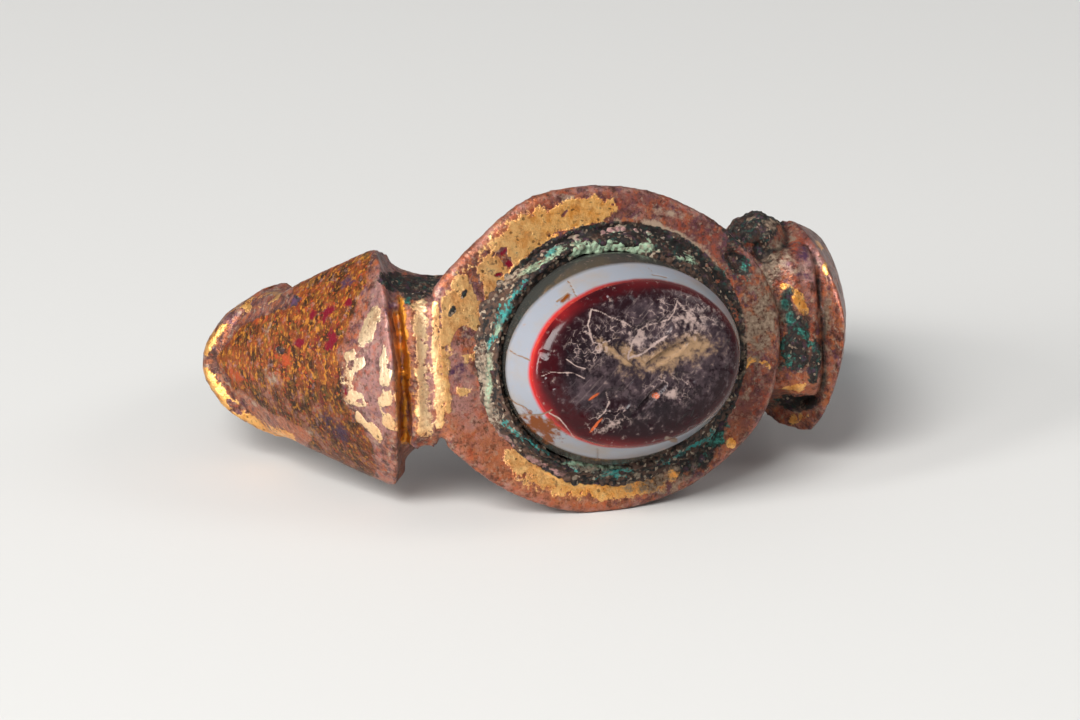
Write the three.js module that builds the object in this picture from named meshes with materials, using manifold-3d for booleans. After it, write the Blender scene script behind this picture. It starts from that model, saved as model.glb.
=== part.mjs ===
// An ancient finger ring of gilded bronze with a banded agate intaglio, lying loose on its side.
import * as THREE from 'three';
import { mergeVertices } from 'three/addons/utils/BufferGeometryUtils.js';
import Module from 'manifold-3d';

const wasm = await Module();
wasm.setup();

// All sizes are in millimetres. Ring coordinates: x runs to the right, y from the rim face of the
// bezel towards the back of the hoop, and z along the finger. The rim face is the plane y = 0.

// Finger hole
const holeWidth = 19.3;
const holeDepth = 16.7;
const holeWidestShare = 0.455;
const bezelThickness = 3;

// Hoop
const hoopBackThickness = 2.1;
const hoopBackHalfHeight = 1.75;
const hoopSag = 0.55;
const hoopSideThickness = 4.38;
const hoopSideHalfHeight = 2.8;
const hoopSwell = 1.55;
const hoopNarrowing = 7;
const hoopBackEdgeShare = 0.5;
const hoopSideEdgeShare = 0.31;

// Leaf shoulders, from the tip on the hoop to the arched ridge beside the bezel
const ridgeHalfHeight = 4.88;
const ridgeKeel = { x: 9.85, y: -0.5 };
const ridgeCorner = { x: 9.03, y: 3 };
const ridgeFlank = { x: 8.2, y: 3.86 };
const ridgeFlankShare = 0.92;
const ridgeInnerShare = 0.61;
const ridgeArch = 1.55;
const leafBulge = 0.3;
const leafNarrowShare = 0.45;
const leafNarrowGain = 0.2;
const leafWidening = 0.9;
const ridgeTurn = -33;

// Neck between the ridge and the bezel, with two upright ribs
const neckHalfHeight = 2.9;
const neckUnderCut = 0.2;
const neckFace = 0.5;
const grooveFloor = 1.05;
const ribRadius = 0.36;
const ribPitch = 0.62;

// Raised chevron bead round the tip of each leaf
const beadRadius = 0.42;
const beadInset = 0.12;

// Bezel plate
const bezelLeft = 7.72;
const bezelRight = 6.95;
const bezelTop = 6.6;
const bezelBottom = 6.62;
const rimRound = 0.28;
const bezelWaistShare = 0.85;
const bezelBackShare = 0.68;

// Recess with the ragged remains of the setting, and its crust collar
const recessHalfWidth = 5.72;
const recessHalfHeight = 5.2;
const recessCentre = { x: -0.33, z: -0.2 };
const recessStep = 0.42;
const recessRagged = 0.14;
const collarCrest = 0.7;
const collarLow = 0.45;
const collarHigh = 1.25;

// Agate stone: half sizes at its girdle, and its layers as heights above the rim face
const stoneCentre = { x: -0.69, z: -0.3 };
const stoneHalfWidth = 5.04;
const stoneHalfHeight = 3.91;
const stoneBaseHalfWidth = 4.8;
const stoneBaseHalfHeight = 4.25;
const stoneGirdle = 2.03;
const stoneShoulder = 3.24;
const stoneShoulderInset = 0.6;
const stoneTop = 4.15;
const stoneDomeInset = 2.6;
const stoneDepth = 1.05;
const seatClearance = 0.3;
const carvingDepth = 0.2;

// How the ring lies: it leans back on the hoop and rolls a little to one side
const restRoll = 1.357;
const footDepth = 0.16;

// Wear and corrosion of the right shoulder
const wornRidgeLoss = 0.85;
const wornKeelLoss = 0.2;
const crustLumpRadius = 1.15;

const hoopStations = 11;
const leafStations = 9;
const archSteps = 10;
const rimSteps = 56;
const stoneSteps = 44;

const radians = THREE.MathUtils.degToRad;
const holeCentreY = bezelThickness + holeDepth * holeWidestShare;
const hoopFootY = bezelThickness + holeDepth + hoopBackThickness * hoopBackEdgeShare;
const leafTip = { x: holeWidth / 2 + hoopSideThickness, y: holeCentreY + 0.3 };

// Point and solid helpers

function mix(from, to, share) {
  return { x: from.x + (to.x - from.x) * share, y: from.y + (to.y - from.y) * share };
}

// A smooth uneven value between -1 and 1 round a closed outline
function uneven(angle, seed) {
  return (
    0.45 * Math.sin(5 * angle + seed) +
    0.33 * Math.sin(9 * angle + 2.3 * seed) +
    0.22 * Math.sin(16 * angle + 4.1 * seed)
  );
}

// Skins rings of equal length into one closed body; each end is closed by a fan to its middle
function skin(rings) {
  const steps = rings[0].length;
  const positions = rings.flat().flatMap((point) => [point.x, point.y, point.z]);
  const indices = [];
  for (let ring = 0; ring < rings.length - 1; ring++) {
    for (let step = 0; step < steps; step++) {
      const a = ring * steps + step;
      const b = ring * steps + ((step + 1) % steps);
      indices.push(a, b, b + steps, a, b + steps, a + steps);
    }
  }
  for (const ring of [0, rings.length - 1]) {
    const middle = new THREE.Vector3();
    rings[ring].forEach((point) => middle.addScaledVector(point, 1 / steps));
    const hub = positions.length / 3;
    positions.push(middle.x, middle.y, middle.z);
    for (let step = 0; step < steps; step++) {
      const a = ring * steps + step;
      const b = ring * steps + ((step + 1) % steps);
      indices.push(...(ring === 0 ? [b, a, hub] : [a, b, hub]));
    }
  }
  const geometry = new THREE.BufferGeometry();
  geometry.setAttribute('position', new THREE.Float32BufferAttribute(positions, 3));
  geometry.setIndex(indices);
  return geometry;
}

function signedVolume(geometry) {
  const { position } = geometry.attributes;
  const corners = [0, 1, 2].map(() => new THREE.Vector3());
  let volume = 0;
  for (let i = 0; i < geometry.index.count; i += 3) {
    corners.forEach((corner, k) => corner.fromBufferAttribute(position, geometry.index.getX(i + k)));
    volume += corners[0].dot(corners[1].clone().cross(corners[2])) / 6;
  }
  return volume;
}

// Turns a closed geometry into a solid, with its faces pointing out
function toSolid(source) {
  const bare = source.clone();
  bare.deleteAttribute('normal');
  bare.deleteAttribute('uv');
  const welded = mergeVertices(bare, 1e-5);
  const triangles = Uint32Array.from(welded.index.array);
  if (signedVolume(welded) < 0) {
    for (let i = 0; i < triangles.length; i += 3) {
      [triangles[i + 1], triangles[i + 2]] = [triangles[i + 2], triangles[i + 1]];
    }
  }
  const vertices = Float32Array.from(welded.attributes.position.array);
  return new wasm.Manifold(new wasm.Mesh({ numProp: 3, vertProperties: vertices, triVerts: triangles }));
}

function toGeometry(solid) {
  const mesh = solid.getMesh();
  const geometry = new THREE.BufferGeometry();
  geometry.setAttribute('position', new THREE.BufferAttribute(mesh.vertProperties, 3));
  geometry.setIndex(new THREE.BufferAttribute(mesh.triVerts, 1));
  geometry.computeVertexNormals();
  return geometry;
}

function join(solids) {
  return solids.reduce((whole, piece) => whole.add(piece));
}

// Hoop and shoulders, as stations of one side with x pointing outwards

// A point of the finger hole: -90 degrees at the bezel, 0 at the side, 90 at the back
function holePoint(turn) {
  const angle = radians(turn);
  const reach = turn < 0 ? holeCentreY - bezelThickness : bezelThickness + holeDepth - holeCentreY;
  return { x: (Math.cos(angle) * holeWidth) / 2, y: holeCentreY + Math.sin(angle) * reach };
}

function hoopStation(turn) {
  const inner = holePoint(turn);
  const swell = (1 - turn / 90) ** hoopSwell;
  const thickness = THREE.MathUtils.lerp(hoopBackThickness, hoopSideThickness, swell);
  const widening = (1 - turn / 90) ** hoopNarrowing;
  const halfHeight = THREE.MathUtils.lerp(hoopBackHalfHeight, hoopSideHalfHeight, widening);
  const out = new THREE.Vector2(inner.x, inner.y - holeCentreY).normalize();
  const keel = { x: inner.x + out.x * thickness, y: inner.y + out.y * thickness };
  const edgeShare = THREE.MathUtils.lerp(hoopBackEdgeShare, hoopSideEdgeShare, swell);
  const edge = mix(inner, keel, edgeShare);
  const flank = mix(inner, keel, edgeShare / 3);
  const sag = hoopSag * (turn / 90) ** 2;
  const arch = THREE.MathUtils.lerp(1.75, 2, swell);
  const shares = { flankShare: 0.99, innerShare: 0.9 };
  return { inner, flank, edge, keel, up: halfHeight, down: halfHeight, ...shares, arch, sag };
}

// The leaf's edge starts on the hoop's own edge and joins the line from tip to ridge corner
function leafStation(share, worn) {
  const start = hoopStation(0);
  const inner = holePoint(ridgeTurn * share);
  const keel = mix(leafTip, ridgeKeel, share);
  keel.x += leafBulge * Math.sin(Math.PI * share) - (worn ? wornKeelLoss * share : 0);
  const free = Math.min(1, share / leafNarrowShare);
  const edge = mix(start.edge, mix(leafTip, ridgeCorner, share), free ** 1.6);
  const widening = Math.max(0, (share - leafNarrowShare) / (1 - leafNarrowShare)) ** leafWidening;
  const narrow = hoopSideHalfHeight + leafNarrowGain * free;
  const halfHeight = THREE.MathUtils.lerp(narrow, ridgeHalfHeight, widening);
  return {
    inner,
    flank: mix(start.flank, ridgeFlank, share ** 1.3),
    edge,
    keel,
    up: halfHeight - (worn ? wornRidgeLoss * widening : 0),
    down: halfHeight,
    flankShare: THREE.MathUtils.lerp(start.flankShare, ridgeFlankShare, share),
    innerShare: THREE.MathUtils.lerp(start.innerShare, ridgeInnerShare, share),
    arch: THREE.MathUtils.lerp(2, ridgeArch, share),
    sag: 0,
  };
}

// The steep inner face of the ridge, the groove, the neck, and a root that ends inside the bezel.
// The neck is broader at the finger than at its ribbed front.
function neckStations() {
  const half = neckHalfHeight;
  const outer = bezelLeft + 2.1 * ribPitch;
  return [
    { turn: -38, x: outer, y: grooveFloor, depth: 1.7, up: half + 0.7, back: half + 1.25, arch: 2.6 },
    { turn: -43, x: outer - 0.35, y: neckFace, depth: 1.2, up: half + 0.15, back: half + 0.9, arch: 4.5 },
    { turn: -50, x: bezelLeft + 0.1, y: neckFace, depth: 1.1, up: half, back: half + 0.6, arch: 4.5 },
    { turn: -58, x: bezelLeft - 1, y: neckFace + 0.5, depth: 1, up: half, back: half + 0.5, arch: 4.5 },
    { turn: -67, x: bezelLeft - 3, y: neckFace + 0.8, depth: 0.8, up: half, back: half + 0.4, arch: 4.5 },
  ].map(({ turn, x, y, depth, up, back, arch }) => {
    const inner = holePoint(turn);
    const keel = { x, y };
    const edge = { x: x - 0.3, y: y + depth };
    const flank = { x: mix(inner, edge, 0.55).x, y: ridgeFlank.y - 0.12 * (outer - x) };
    const shares = { flankShare: back / up, innerShare: (back - 0.35) / up };
    return { inner, flank, edge, keel, up, down: up - neckUnderCut, ...shares, arch, sag: 0 };
  });
}

function sectionRing(station, side) {
  const { inner, flank, edge, keel, up, down, flankShare, innerShare, arch, sag } = station;
  const ring = [];
  const add = (point, z) => ring.push(new THREE.Vector3(point.x * side, point.y, z - sag));
  add(inner, -down * innerShare);
  add(inner, up * innerShare);
  add(flank, up * flankShare);
  for (let step = 0; step <= archSteps * 2; step++) {
    const level = Math.cos((Math.PI * step) / (archSteps * 2));
    const rise = Math.max(0, 1 - Math.abs(level) ** arch) ** (1 / arch);
    add(mix(edge, keel, rise), level > 0 ? up * level : down * level);
  }
  add(flank, -down * flankShare);
  return ring;
}

function hoopWithShoulders() {
  const rings = [];
  const sideRings = (side) => {
    const worn = side > 0;
    const stations = [];
    for (let i = 0; i < hoopStations; i++) {
      stations.push(hoopStation(90 - (90 * i) / hoopStations));
    }
    for (let i = 0; i <= leafStations; i++) {
      stations.push(leafStation(i / leafStations, worn));
    }
    stations.push(...neckStations());
    return stations.map((station) => sectionRing(station, side));
  };
  rings.push(...sideRings(-1).reverse(), ...sideRings(1).slice(1));
  return toSolid(skin(rings));
}

function tube(points, radius, steps) {
  const section = new THREE.Shape(new THREE.Path().absarc(0, 0, radius, 0, Math.PI * 2).getPoints(4));
  const extrudePath = new THREE.CatmullRomCurve3(points.map((point) => new THREE.Vector3(...point)));
  return toSolid(new THREE.ExtrudeGeometry(section, { steps, extrudePath, bevelEnabled: false }));
}

// The chevron bead runs from one inner edge of the hoop over the leaf tip to the other
function chevronBead(side) {
  const tip = leafTip.x - beadInset;
  const half = hoopSideHalfHeight;
  const arm = (up) => [
    [side * (tip - 3.3), leafTip.y - 1.3, up * (half + 0.02)],
    [side * (tip - 2.3), leafTip.y - 1.5, up * (half - 0.1)],
    [side * (tip - 1.15), leafTip.y - 1.1, up * (half - 0.78)],
    [side * (tip - 0.42), leafTip.y - 0.6, up * (half - 1.55)],
  ];
  return tube([...arm(1), [side * tip, leafTip.y - 0.15, 0], ...arm(-1).reverse()], beadRadius, 26);
}

// Two upright ribs on the neck; the right-hand pair is worn low
function neckRibs(side) {
  const sunk = side > 0 ? 0.22 : 0;
  return [0.5, 1.5].map((count) => {
    const x = side * (bezelLeft + count * ribPitch);
    const y = neckFace - 0.02 + sunk;
    const half = neckHalfHeight - 0.05;
    const points = [[x, y + 0.6, half + 0.1], [x, y + 0.1, half - 0.4], [x, y, 0], [x, y + 0.1, 0.4 - half], [x, y + 0.6, -half - 0.1]];
    return tube(points, ribRadius, 8);
  });
}

// Bezel plate with its recess, crust collar and seat, as rings round the middle of the stone

// The outline is an octagon with rounded corners, more worn on its right-hand side
function bezelOutline() {
  const left = -bezelLeft;
  const right = bezelRight;
  const corners = [
    [left, 0.48 * bezelTop],
    [left * 0.88, 0.62 * bezelTop],
    [left * 0.73, 0.76 * bezelTop],
    [left * 0.44, 0.975 * bezelTop],
    [0, bezelTop],
    [right * 0.36, 0.9 * bezelTop],
    [right * 0.8, 0.58 * bezelTop],
    [right, 0.2 * bezelTop],
    [right, -0.2 * bezelBottom],
    [right * 0.86, -0.56 * bezelBottom],
    [right * 0.42, -0.89 * bezelBottom],
    [0, -0.995 * bezelBottom],
    [left * 0.3, -0.98 * bezelBottom],
    [left * 0.66, -0.81 * bezelBottom],
    [left * 0.91, -0.57 * bezelBottom],
    [left, -0.45 * bezelBottom],
  ];
  const points = corners.map(([x, z]) => new THREE.Vector3(x, 0, z));
  return new THREE.CatmullRomCurve3(points, true, 'centripetal').getSpacedPoints(rimSteps).slice(0, rimSteps);
}

function bezelRings() {
  const outline = bezelOutline();
  const outer = (share, y) => outline.map((point) => new THREE.Vector3(point.x * share, y, point.z * share));
  const round = (centre, halfWidth, halfHeight, height) =>
    outline.map((point) => {
      const angle = Math.atan2((point.z - centre.z) / halfHeight, (point.x - centre.x) / halfWidth);
      const x = centre.x + Math.cos(angle) * halfWidth;
      const z = centre.z + Math.sin(angle) * halfHeight;
      return new THREE.Vector3(x, height(angle), z);
    });
  const ragged = (inset, y) =>
    round(recessCentre, recessHalfWidth - inset, recessHalfHeight - inset, () => y).map((point) => {
      const angle = Math.atan2(point.z, point.x);
      const push = 1 + (recessRagged * uneven(angle, 1)) / recessHalfWidth;
      return new THREE.Vector3(point.x * push, point.y, point.z * push);
    });
  const seat = (gap, y) =>
    round(stoneCentre, stoneBaseHalfWidth + gap, stoneBaseHalfHeight + gap, () => y);
  // The crust rises highest on the left; share 0 is the recess edge and 1 the wall round the stone
  const crust = (share, rise) => {
    const foot = ragged(0.12, 0);
    return seat(seatClearance, 0).map((wall, i) => {
      const angle = Math.atan2(wall.z, wall.x);
      const left = Math.max(0, -Math.cos(angle)) ** 1.5;
      const height = THREE.MathUtils.lerp(collarLow, collarHigh, left) * rise;
      const point = foot[i].clone().lerp(wall, share);
      return new THREE.Vector3(point.x, -height * (1 + 0.18 * uneven(angle, 2.6)), point.z);
    });
  };
  return [
    outer(0.45, bezelThickness + 1.2),
    outer(bezelBackShare, bezelThickness + 0.25),
    outer(bezelWaistShare, bezelThickness * 0.7),
    outer(1, rimRound),
    outer(1 - rimRound / bezelTop / 3, 0.06),
    outer(1 - rimRound / bezelTop, 0),
    ragged(0, 0),
    ragged(0.12, recessStep),
    crust(0.4, 0.1),
    crust(collarCrest, 1),
    crust(1, 0.94),
    seat(seatClearance, stoneDepth * 0.4),
    seat(-0.2, stoneDepth + seatClearance),
  ];
}

function holeCutter(margin) {
  const outline = [];
  for (let turn = 0; turn < 360; turn += 6) {
    const mirrored = turn > 90 && turn < 270;
    const quarter = mirrored ? 180 - turn : turn > 180 ? turn - 360 : turn;
    const point = holePoint(quarter);
    outline.push(new THREE.Vector2(mirrored ? -point.x : point.x, point.y));
  }
  const middle = new THREE.Vector2(0, holeCentreY);
  outline.forEach((point) => point.sub(middle).multiplyScalar(1 + (2 * margin) / holeWidth).add(middle));
  const depth = 2 * ridgeHalfHeight + 2 * bezelTop;
  const geometry = new THREE.ExtrudeGeometry(new THREE.Shape(outline), { depth, bevelEnabled: false });
  geometry.translate(0, 0, -depth / 2);
  return toSolid(geometry);
}

function bezel() {
  return toSolid(skin(bezelRings())).subtract(holeCutter(0.1));
}

// A lump of corrosion products on the upper side of the right-hand neck
function crustLump() {
  const geometry = new THREE.IcosahedronGeometry(crustLumpRadius, 4);
  geometry.deleteAttribute('normal');
  geometry.deleteAttribute('uv');
  const lump = mergeVertices(geometry, 1e-5);
  const { position } = lump.attributes;
  const point = new THREE.Vector3();
  for (let i = 0; i < position.count; i++) {
    point.fromBufferAttribute(position, i);
    const angle = Math.atan2(point.z, point.x);
    const lumpy = 0.16 * uneven(angle * 0.4, 1.3) * Math.cos((1.3 * point.y) / crustLumpRadius);
    point.multiplyScalar(1 + lumpy);
    position.setXYZ(i, point.x, point.y * 1.3, point.z);
  }
  lump.translate(bezelRight + 0.45, bezelThickness + 0.1, neckHalfHeight + 0.5);
  return toSolid(lump);
}

// Agate stone

function stoneRing(halfWidth, halfHeight, level) {
  const ring = [];
  for (let step = 0; step < stoneSteps; step++) {
    const angle = (2 * Math.PI * step) / stoneSteps;
    const x = stoneCentre.x + Math.cos(angle) * halfWidth;
    const z = stoneCentre.z + Math.sin(angle) * halfHeight;
    ring.push(new THREE.Vector3(x, -level, z));
  }
  return ring;
}

// Dark base, white band up to the shoulder, and the low dome of the dark top
function stoneBody() {
  const base = (inset, level) => stoneRing(stoneBaseHalfWidth - inset, stoneBaseHalfHeight - inset, level);
  const band = (inset, level) => stoneRing(stoneHalfWidth - inset, stoneHalfHeight - inset, level);
  const dome = (share) => {
    const level = THREE.MathUtils.lerp(stoneShoulder, stoneTop, Math.sin((share * Math.PI) / 2) ** 0.8);
    return band(stoneShoulderInset + stoneDomeInset * (1 - Math.cos((share * Math.PI) / 2)), level);
  };
  return toSolid(skin([
    base(0.5, -stoneDepth),
    base(0, -stoneDepth * 0.4),
    base(0, stoneGirdle * 0.5),
    band(0, stoneGirdle),
    band(stoneShoulderInset * 0.42, THREE.MathUtils.lerp(stoneGirdle, stoneShoulder, 0.55)),
    band(stoneShoulderInset, stoneShoulder),
    dome(0.25),
    dome(0.5),
    dome(0.75),
    dome(1),
  ]));
}

// The worn intaglio: shallow strokes and hollows that no longer show a clear figure
function carving() {
  const hollow = (x, z, halfWidth, halfHeight, turn) => {
    const geometry = new THREE.SphereGeometry(1, 14, 8);
    geometry.scale(halfWidth, carvingDepth, halfHeight);
    geometry.rotateY(radians(turn));
    geometry.translate(stoneCentre.x + x, -stoneTop + 0.03, stoneCentre.z + z);
    return toSolid(geometry);
  };
  return join([
    hollow(0.55, 1.35, 0.85, 0.45, 8),
    hollow(-0.45, 0.35, 0.95, 0.2, -42),
    hollow(0.95, 0.25, 1.15, 0.24, 24),
    hollow(-1.3, -1.25, 0.7, 0.5, -12),
    hollow(0.3, -1.3, 0.9, 0.16, 35),
    hollow(1.75, -0.75, 0.5, 0.3, -20),
  ]);
}

// The pose: the ring leans back until the bezel and the hoop both touch the surface it lies on

function restMatrix() {
  const drop = bezelBottom - hoopBackHalfHeight - hoopSag;
  const lean = Math.asin(drop / (hoopFootY - rimRound));
  const turn = new THREE.Matrix4().makeRotationX(-lean);
  const roll = new THREE.Matrix4().makeRotationY(-radians(restRoll));
  return turn.multiply(roll);
}

function lowestPoint(geometry, matrix) {
  const placed = geometry.clone().applyMatrix4(matrix);
  placed.computeBoundingBox();
  return placed.boundingBox.min.z;
}

const rest = restMatrix();
const wholeBody = join([
  hoopWithShoulders(),
  bezel(),
  chevronBead(-1),
  chevronBead(1),
  ...neckRibs(-1),
  ...neckRibs(1),
  crustLump(),
]);

// Small flat feet where the ring touches down
const floor = lowestPoint(toGeometry(wholeBody), rest) + footDepth;
const block = new THREE.BoxGeometry(4 * holeWidth, 4 * holeWidth, 10);
block.translate(0, holeCentreY, floor - 5);
const bodySolid = wholeBody.subtract(toSolid(block.applyMatrix4(rest.clone().invert())));
const stoneSolid = stoneBody().subtract(carving());

const bronze = new THREE.MeshStandardMaterial({ color: '#a9713c', roughness: 0.5, metalness: 0.8 });
const agate = new THREE.MeshStandardMaterial({ color: '#4a2326', roughness: 0.25, metalness: 0 });

const ringBody = new THREE.Mesh(toGeometry(bodySolid), bronze);
ringBody.name = 'ring_body';
const agateGem = new THREE.Mesh(toGeometry(stoneSolid), agate);
agateGem.name = 'agate_gem';

// The ring is placed with the middle of its footprint at the origin
const ring = new THREE.Group();
ring.add(ringBody, agateGem);
ring.quaternion.setFromRotationMatrix(rest);
ring.updateMatrixWorld(true);
const extent = new THREE.Box3().setFromObject(ring, true);
ring.position.set(-(extent.min.x + extent.max.x) / 2, -(extent.min.y + extent.max.y) / 2, -floor);

const part = new THREE.Group();
part.add(ring);

export default part;
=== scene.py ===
import itertools
import math

import bpy
import numpy as np
from mathutils import Matrix, Vector
from mathutils.bvhtree import BVHTree


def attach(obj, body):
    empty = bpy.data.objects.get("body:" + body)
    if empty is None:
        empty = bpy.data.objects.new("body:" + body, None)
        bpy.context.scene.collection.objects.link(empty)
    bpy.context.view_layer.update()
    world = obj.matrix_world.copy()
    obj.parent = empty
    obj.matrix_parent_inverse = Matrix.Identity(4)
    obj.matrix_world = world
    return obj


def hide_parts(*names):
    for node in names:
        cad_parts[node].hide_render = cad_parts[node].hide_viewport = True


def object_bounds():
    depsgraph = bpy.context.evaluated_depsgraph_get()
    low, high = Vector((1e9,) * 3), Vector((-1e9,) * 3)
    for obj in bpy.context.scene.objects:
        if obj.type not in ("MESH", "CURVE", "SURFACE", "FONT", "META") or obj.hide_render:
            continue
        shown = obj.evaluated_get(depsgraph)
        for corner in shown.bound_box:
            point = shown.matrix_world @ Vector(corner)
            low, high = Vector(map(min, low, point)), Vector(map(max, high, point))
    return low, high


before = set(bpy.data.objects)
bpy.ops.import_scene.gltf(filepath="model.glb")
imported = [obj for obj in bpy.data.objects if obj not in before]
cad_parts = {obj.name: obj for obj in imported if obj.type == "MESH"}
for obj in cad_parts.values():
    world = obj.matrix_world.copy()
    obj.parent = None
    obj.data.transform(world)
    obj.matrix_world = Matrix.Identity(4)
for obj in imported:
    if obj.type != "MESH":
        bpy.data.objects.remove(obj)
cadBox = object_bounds()
print("frame loaded")

# An ancient finger ring of gilded bronze with a worn banded agate, lying on its side.
# Ring coordinates are in millimetres: x to the right, y from the bezel's rim face to the back of
# the hoop, z along the finger. Pieces are shaped and painted in ring coordinates, then laid down.
mm = 0.001
lying = {
    "leanDegrees": 12.184,
    "rollDegrees": 1.357,
    "rimMiddle": (0.0, -8.392, 6.470),
}
camera = {
    "place": (-84.53, -216.09, 77.22),
    "aim": (-3.013, -7.216, 5.884),
    "rollDegrees": 1.112,
    "lens": 194.75,
    "sensor": 36.0,
    "pictureWidth": 1080,
    "pictureHeight": 720,
}

ringPlace = (
    Matrix.Translation(Vector(lying["rimMiddle"]) * mm)
    @ Matrix.Rotation(-math.radians(lying["leanDegrees"]), 4, "X")
    @ Matrix.Rotation(-math.radians(lying["rollDegrees"]), 4, "Y")
)
toRing = Matrix.Scale(1 / mm, 4) @ ringPlace.inverted()


def makeCamera():
    place, aim = Vector(camera["place"]), Vector(camera["aim"])
    forward = (aim - place).normalized()
    level = forward.cross(Vector((0, 0, 1))).normalized()
    upright = level.cross(forward)
    roll = math.radians(camera["rollDegrees"])
    right = level * math.cos(roll) + upright * math.sin(roll)
    up = upright * math.cos(roll) - level * math.sin(roll)
    data = bpy.data.cameras.new("camera")
    data.lens = camera["lens"]
    data.sensor_width = camera["sensor"]
    data.clip_start = 0.01
    seen = bpy.data.objects.new("camera", data)
    turn = Matrix((right, up, -forward)).transposed().to_4x4()
    seen.matrix_world = Matrix.Translation(place * mm) @ turn
    bpy.context.scene.collection.objects.link(seen)
    bpy.context.scene.camera = seen
    return seen.matrix_world.copy()


cameraPlace = makeCamera()
toCamera = np.array(cameraPlace.inverted() @ ringPlace @ Matrix.Scale(mm, 4))
pixelsPerSlope = camera["lens"] / camera["sensor"] * camera["pictureWidth"]
pixelsPerMm = pixelsPerSlope / (Vector(camera["place"]) - Vector(camera["aim"])).length


# Where ring points are in the photograph, in pixels of its 1080 x 720 frame
def inPicture(points):
    seen = points @ toCamera[:3, :3].T + toCamera[:3, 3]
    across = camera["pictureWidth"] / 2 - pixelsPerSlope * seen[:, 0] / seen[:, 2]
    down = camera["pictureHeight"] / 2 + pixelsPerSlope * seen[:, 1] / seen[:, 2]
    return np.stack([across, down], axis=1)


# The frame's own mesh of a node, in ring coordinates
def ringMesh(node):
    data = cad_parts[node].data.copy()
    data.transform(toRing)
    return data


def treeOf(data):
    points = [v.co.copy() for v in data.vertices]
    return BVHTree.FromPolygons(points, [tuple(p.vertices) for p in data.polygons])


# The ring point that a pixel of the photograph shows
def touched(tree, across, down):
    slope = Vector((
        (across - camera["pictureWidth"] / 2) / pixelsPerSlope,
        (camera["pictureHeight"] / 2 - down) / pixelsPerSlope,
        -1,
    ))
    eye = toRing @ cameraPlace.translation
    reach = (toRing @ (cameraPlace @ slope) - eye).normalized()
    point = tree.ray_cast(eye, reach)[0]
    return None if point is None else np.array(point)


# Noise on points, the same on every run
def randomAt(cells, seed):
    x, y, z = (cells[..., i].astype(np.int64) for i in range(3))
    mixed = (x * 73856093) ^ (y * 19349663) ^ (z * 83492791) ^ (seed * 2971215073)
    mixed = ((mixed ^ (mixed >> 15)) * 2246822519) & 0xFFFFFFFF
    mixed = ((mixed ^ (mixed >> 13)) * 3266489917) & 0xFFFFFFFF
    return ((mixed ^ (mixed >> 16)) & 0xFFFFFF) / 0xFFFFFF


# Smooth swells from -1 to 1, each about size mm across
def swells(points, size, seed):
    place = points / size + seed * 7.31
    cells = np.floor(place)
    share = place - cells
    share = share * share * (3 - 2 * share)
    total = np.zeros(len(points))
    for corner in itertools.product((0, 1), repeat=3):
        weight = np.prod(np.where(corner, share, 1 - share), axis=1)
        total += weight * randomAt(cells + corner, seed)
    return total * 2 - 1


def rough(points, size, seed, octaves=3):
    layers = [swells(points, size / 2**i, seed + i) / 2**i for i in range(octaves)]
    return sum(layers) / sum(1 / 2**i for i in range(octaves))


# Rounded grains about size mm across: 1 at a grain's middle and 0 between grains, and its own number
def grains(points, size, seed):
    place = points / size
    cells = np.floor(place)
    nearest = np.full(len(points), 9.0)
    number = np.zeros(len(points))
    for corner in itertools.product((-1, 0, 1), repeat=3):
        cell = cells + corner
        middle = cell + np.stack([randomAt(cell, seed + i) for i in range(3)], axis=1)
        gap = np.sum((place - middle) ** 2, axis=1)
        closer = gap < nearest
        number = np.where(closer, randomAt(cell, seed + 3), number)
        nearest = np.where(closer, gap, nearest)
    return np.clip(1 - nearest, 0, 1), number


def smoothStep(value, low, high):
    share = np.clip((value - low) / (high - low), 0, 1)
    return share * share * (3 - 2 * share)


# 1 between the two middle stops, and 0 from the outer ones on
def plateau(value, stops):
    start, full, lastFull, end = stops
    return smoothStep(value, start, full) * smoothStep(value, end, lastFull)


# A spot stays within so many of its own sizes and so many mm of where it was put, so that it
# doesn't land on a part behind as well
spotReach = {"sizes": 2.2, "mm": 0.3}


# Spots and strokes laid on a surface. A spot is (across, down, half length, half width,
# turn): its place in the photograph in pixels, its half sizes in mm and its turn in degrees.
def spotCover(surface, tree, strength, spots):
    cover = np.zeros(len(surface["points"]))
    for across, down, halfLength, halfWidth, turn in spots.values():
        middle = touched(tree, across, down)
        if middle is None:
            continue
        angle = math.radians(turn)
        aside = (surface["picture"] - (across, down)) / pixelsPerMm
        along = aside[:, 0] * math.cos(angle) - aside[:, 1] * math.sin(angle)
        beside = aside[:, 0] * math.sin(angle) + aside[:, 1] * math.cos(angle)
        spread = np.sqrt((along / halfLength) ** 2 + (beside / halfWidth) ** 2)
        gap = np.linalg.norm(surface["points"] - middle, axis=1)
        near = gap < spotReach["sizes"] * max(halfLength, halfWidth) + spotReach["mm"]
        cover = np.maximum(cover, np.where(near, np.clip(1 - spread / 2, 0, 1), 0))
    return strength * cover * (surface["facing"] > 0)


# A stroke is its half width in mm and then the pixels that it passes through
def strokeCover(surface, strength, strokes):
    cover = np.zeros(len(surface["points"]))
    for halfWidth, *stops in strokes.values():
        for start, end in zip(stops, stops[1:]):
            start, end = np.array(start, float), np.array(end, float)
            line = end - start
            share = np.clip((surface["picture"] - start) @ line / (line @ line), 0, 1)
            foot = start + share[:, None] * line
            gap = np.linalg.norm(surface["picture"] - foot, axis=1) / pixelsPerMm
            cover = np.maximum(cover, np.clip(1 - gap / halfWidth / 2, 0, 1))
    return strength * cover * (surface["facing"] > 0)


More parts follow.
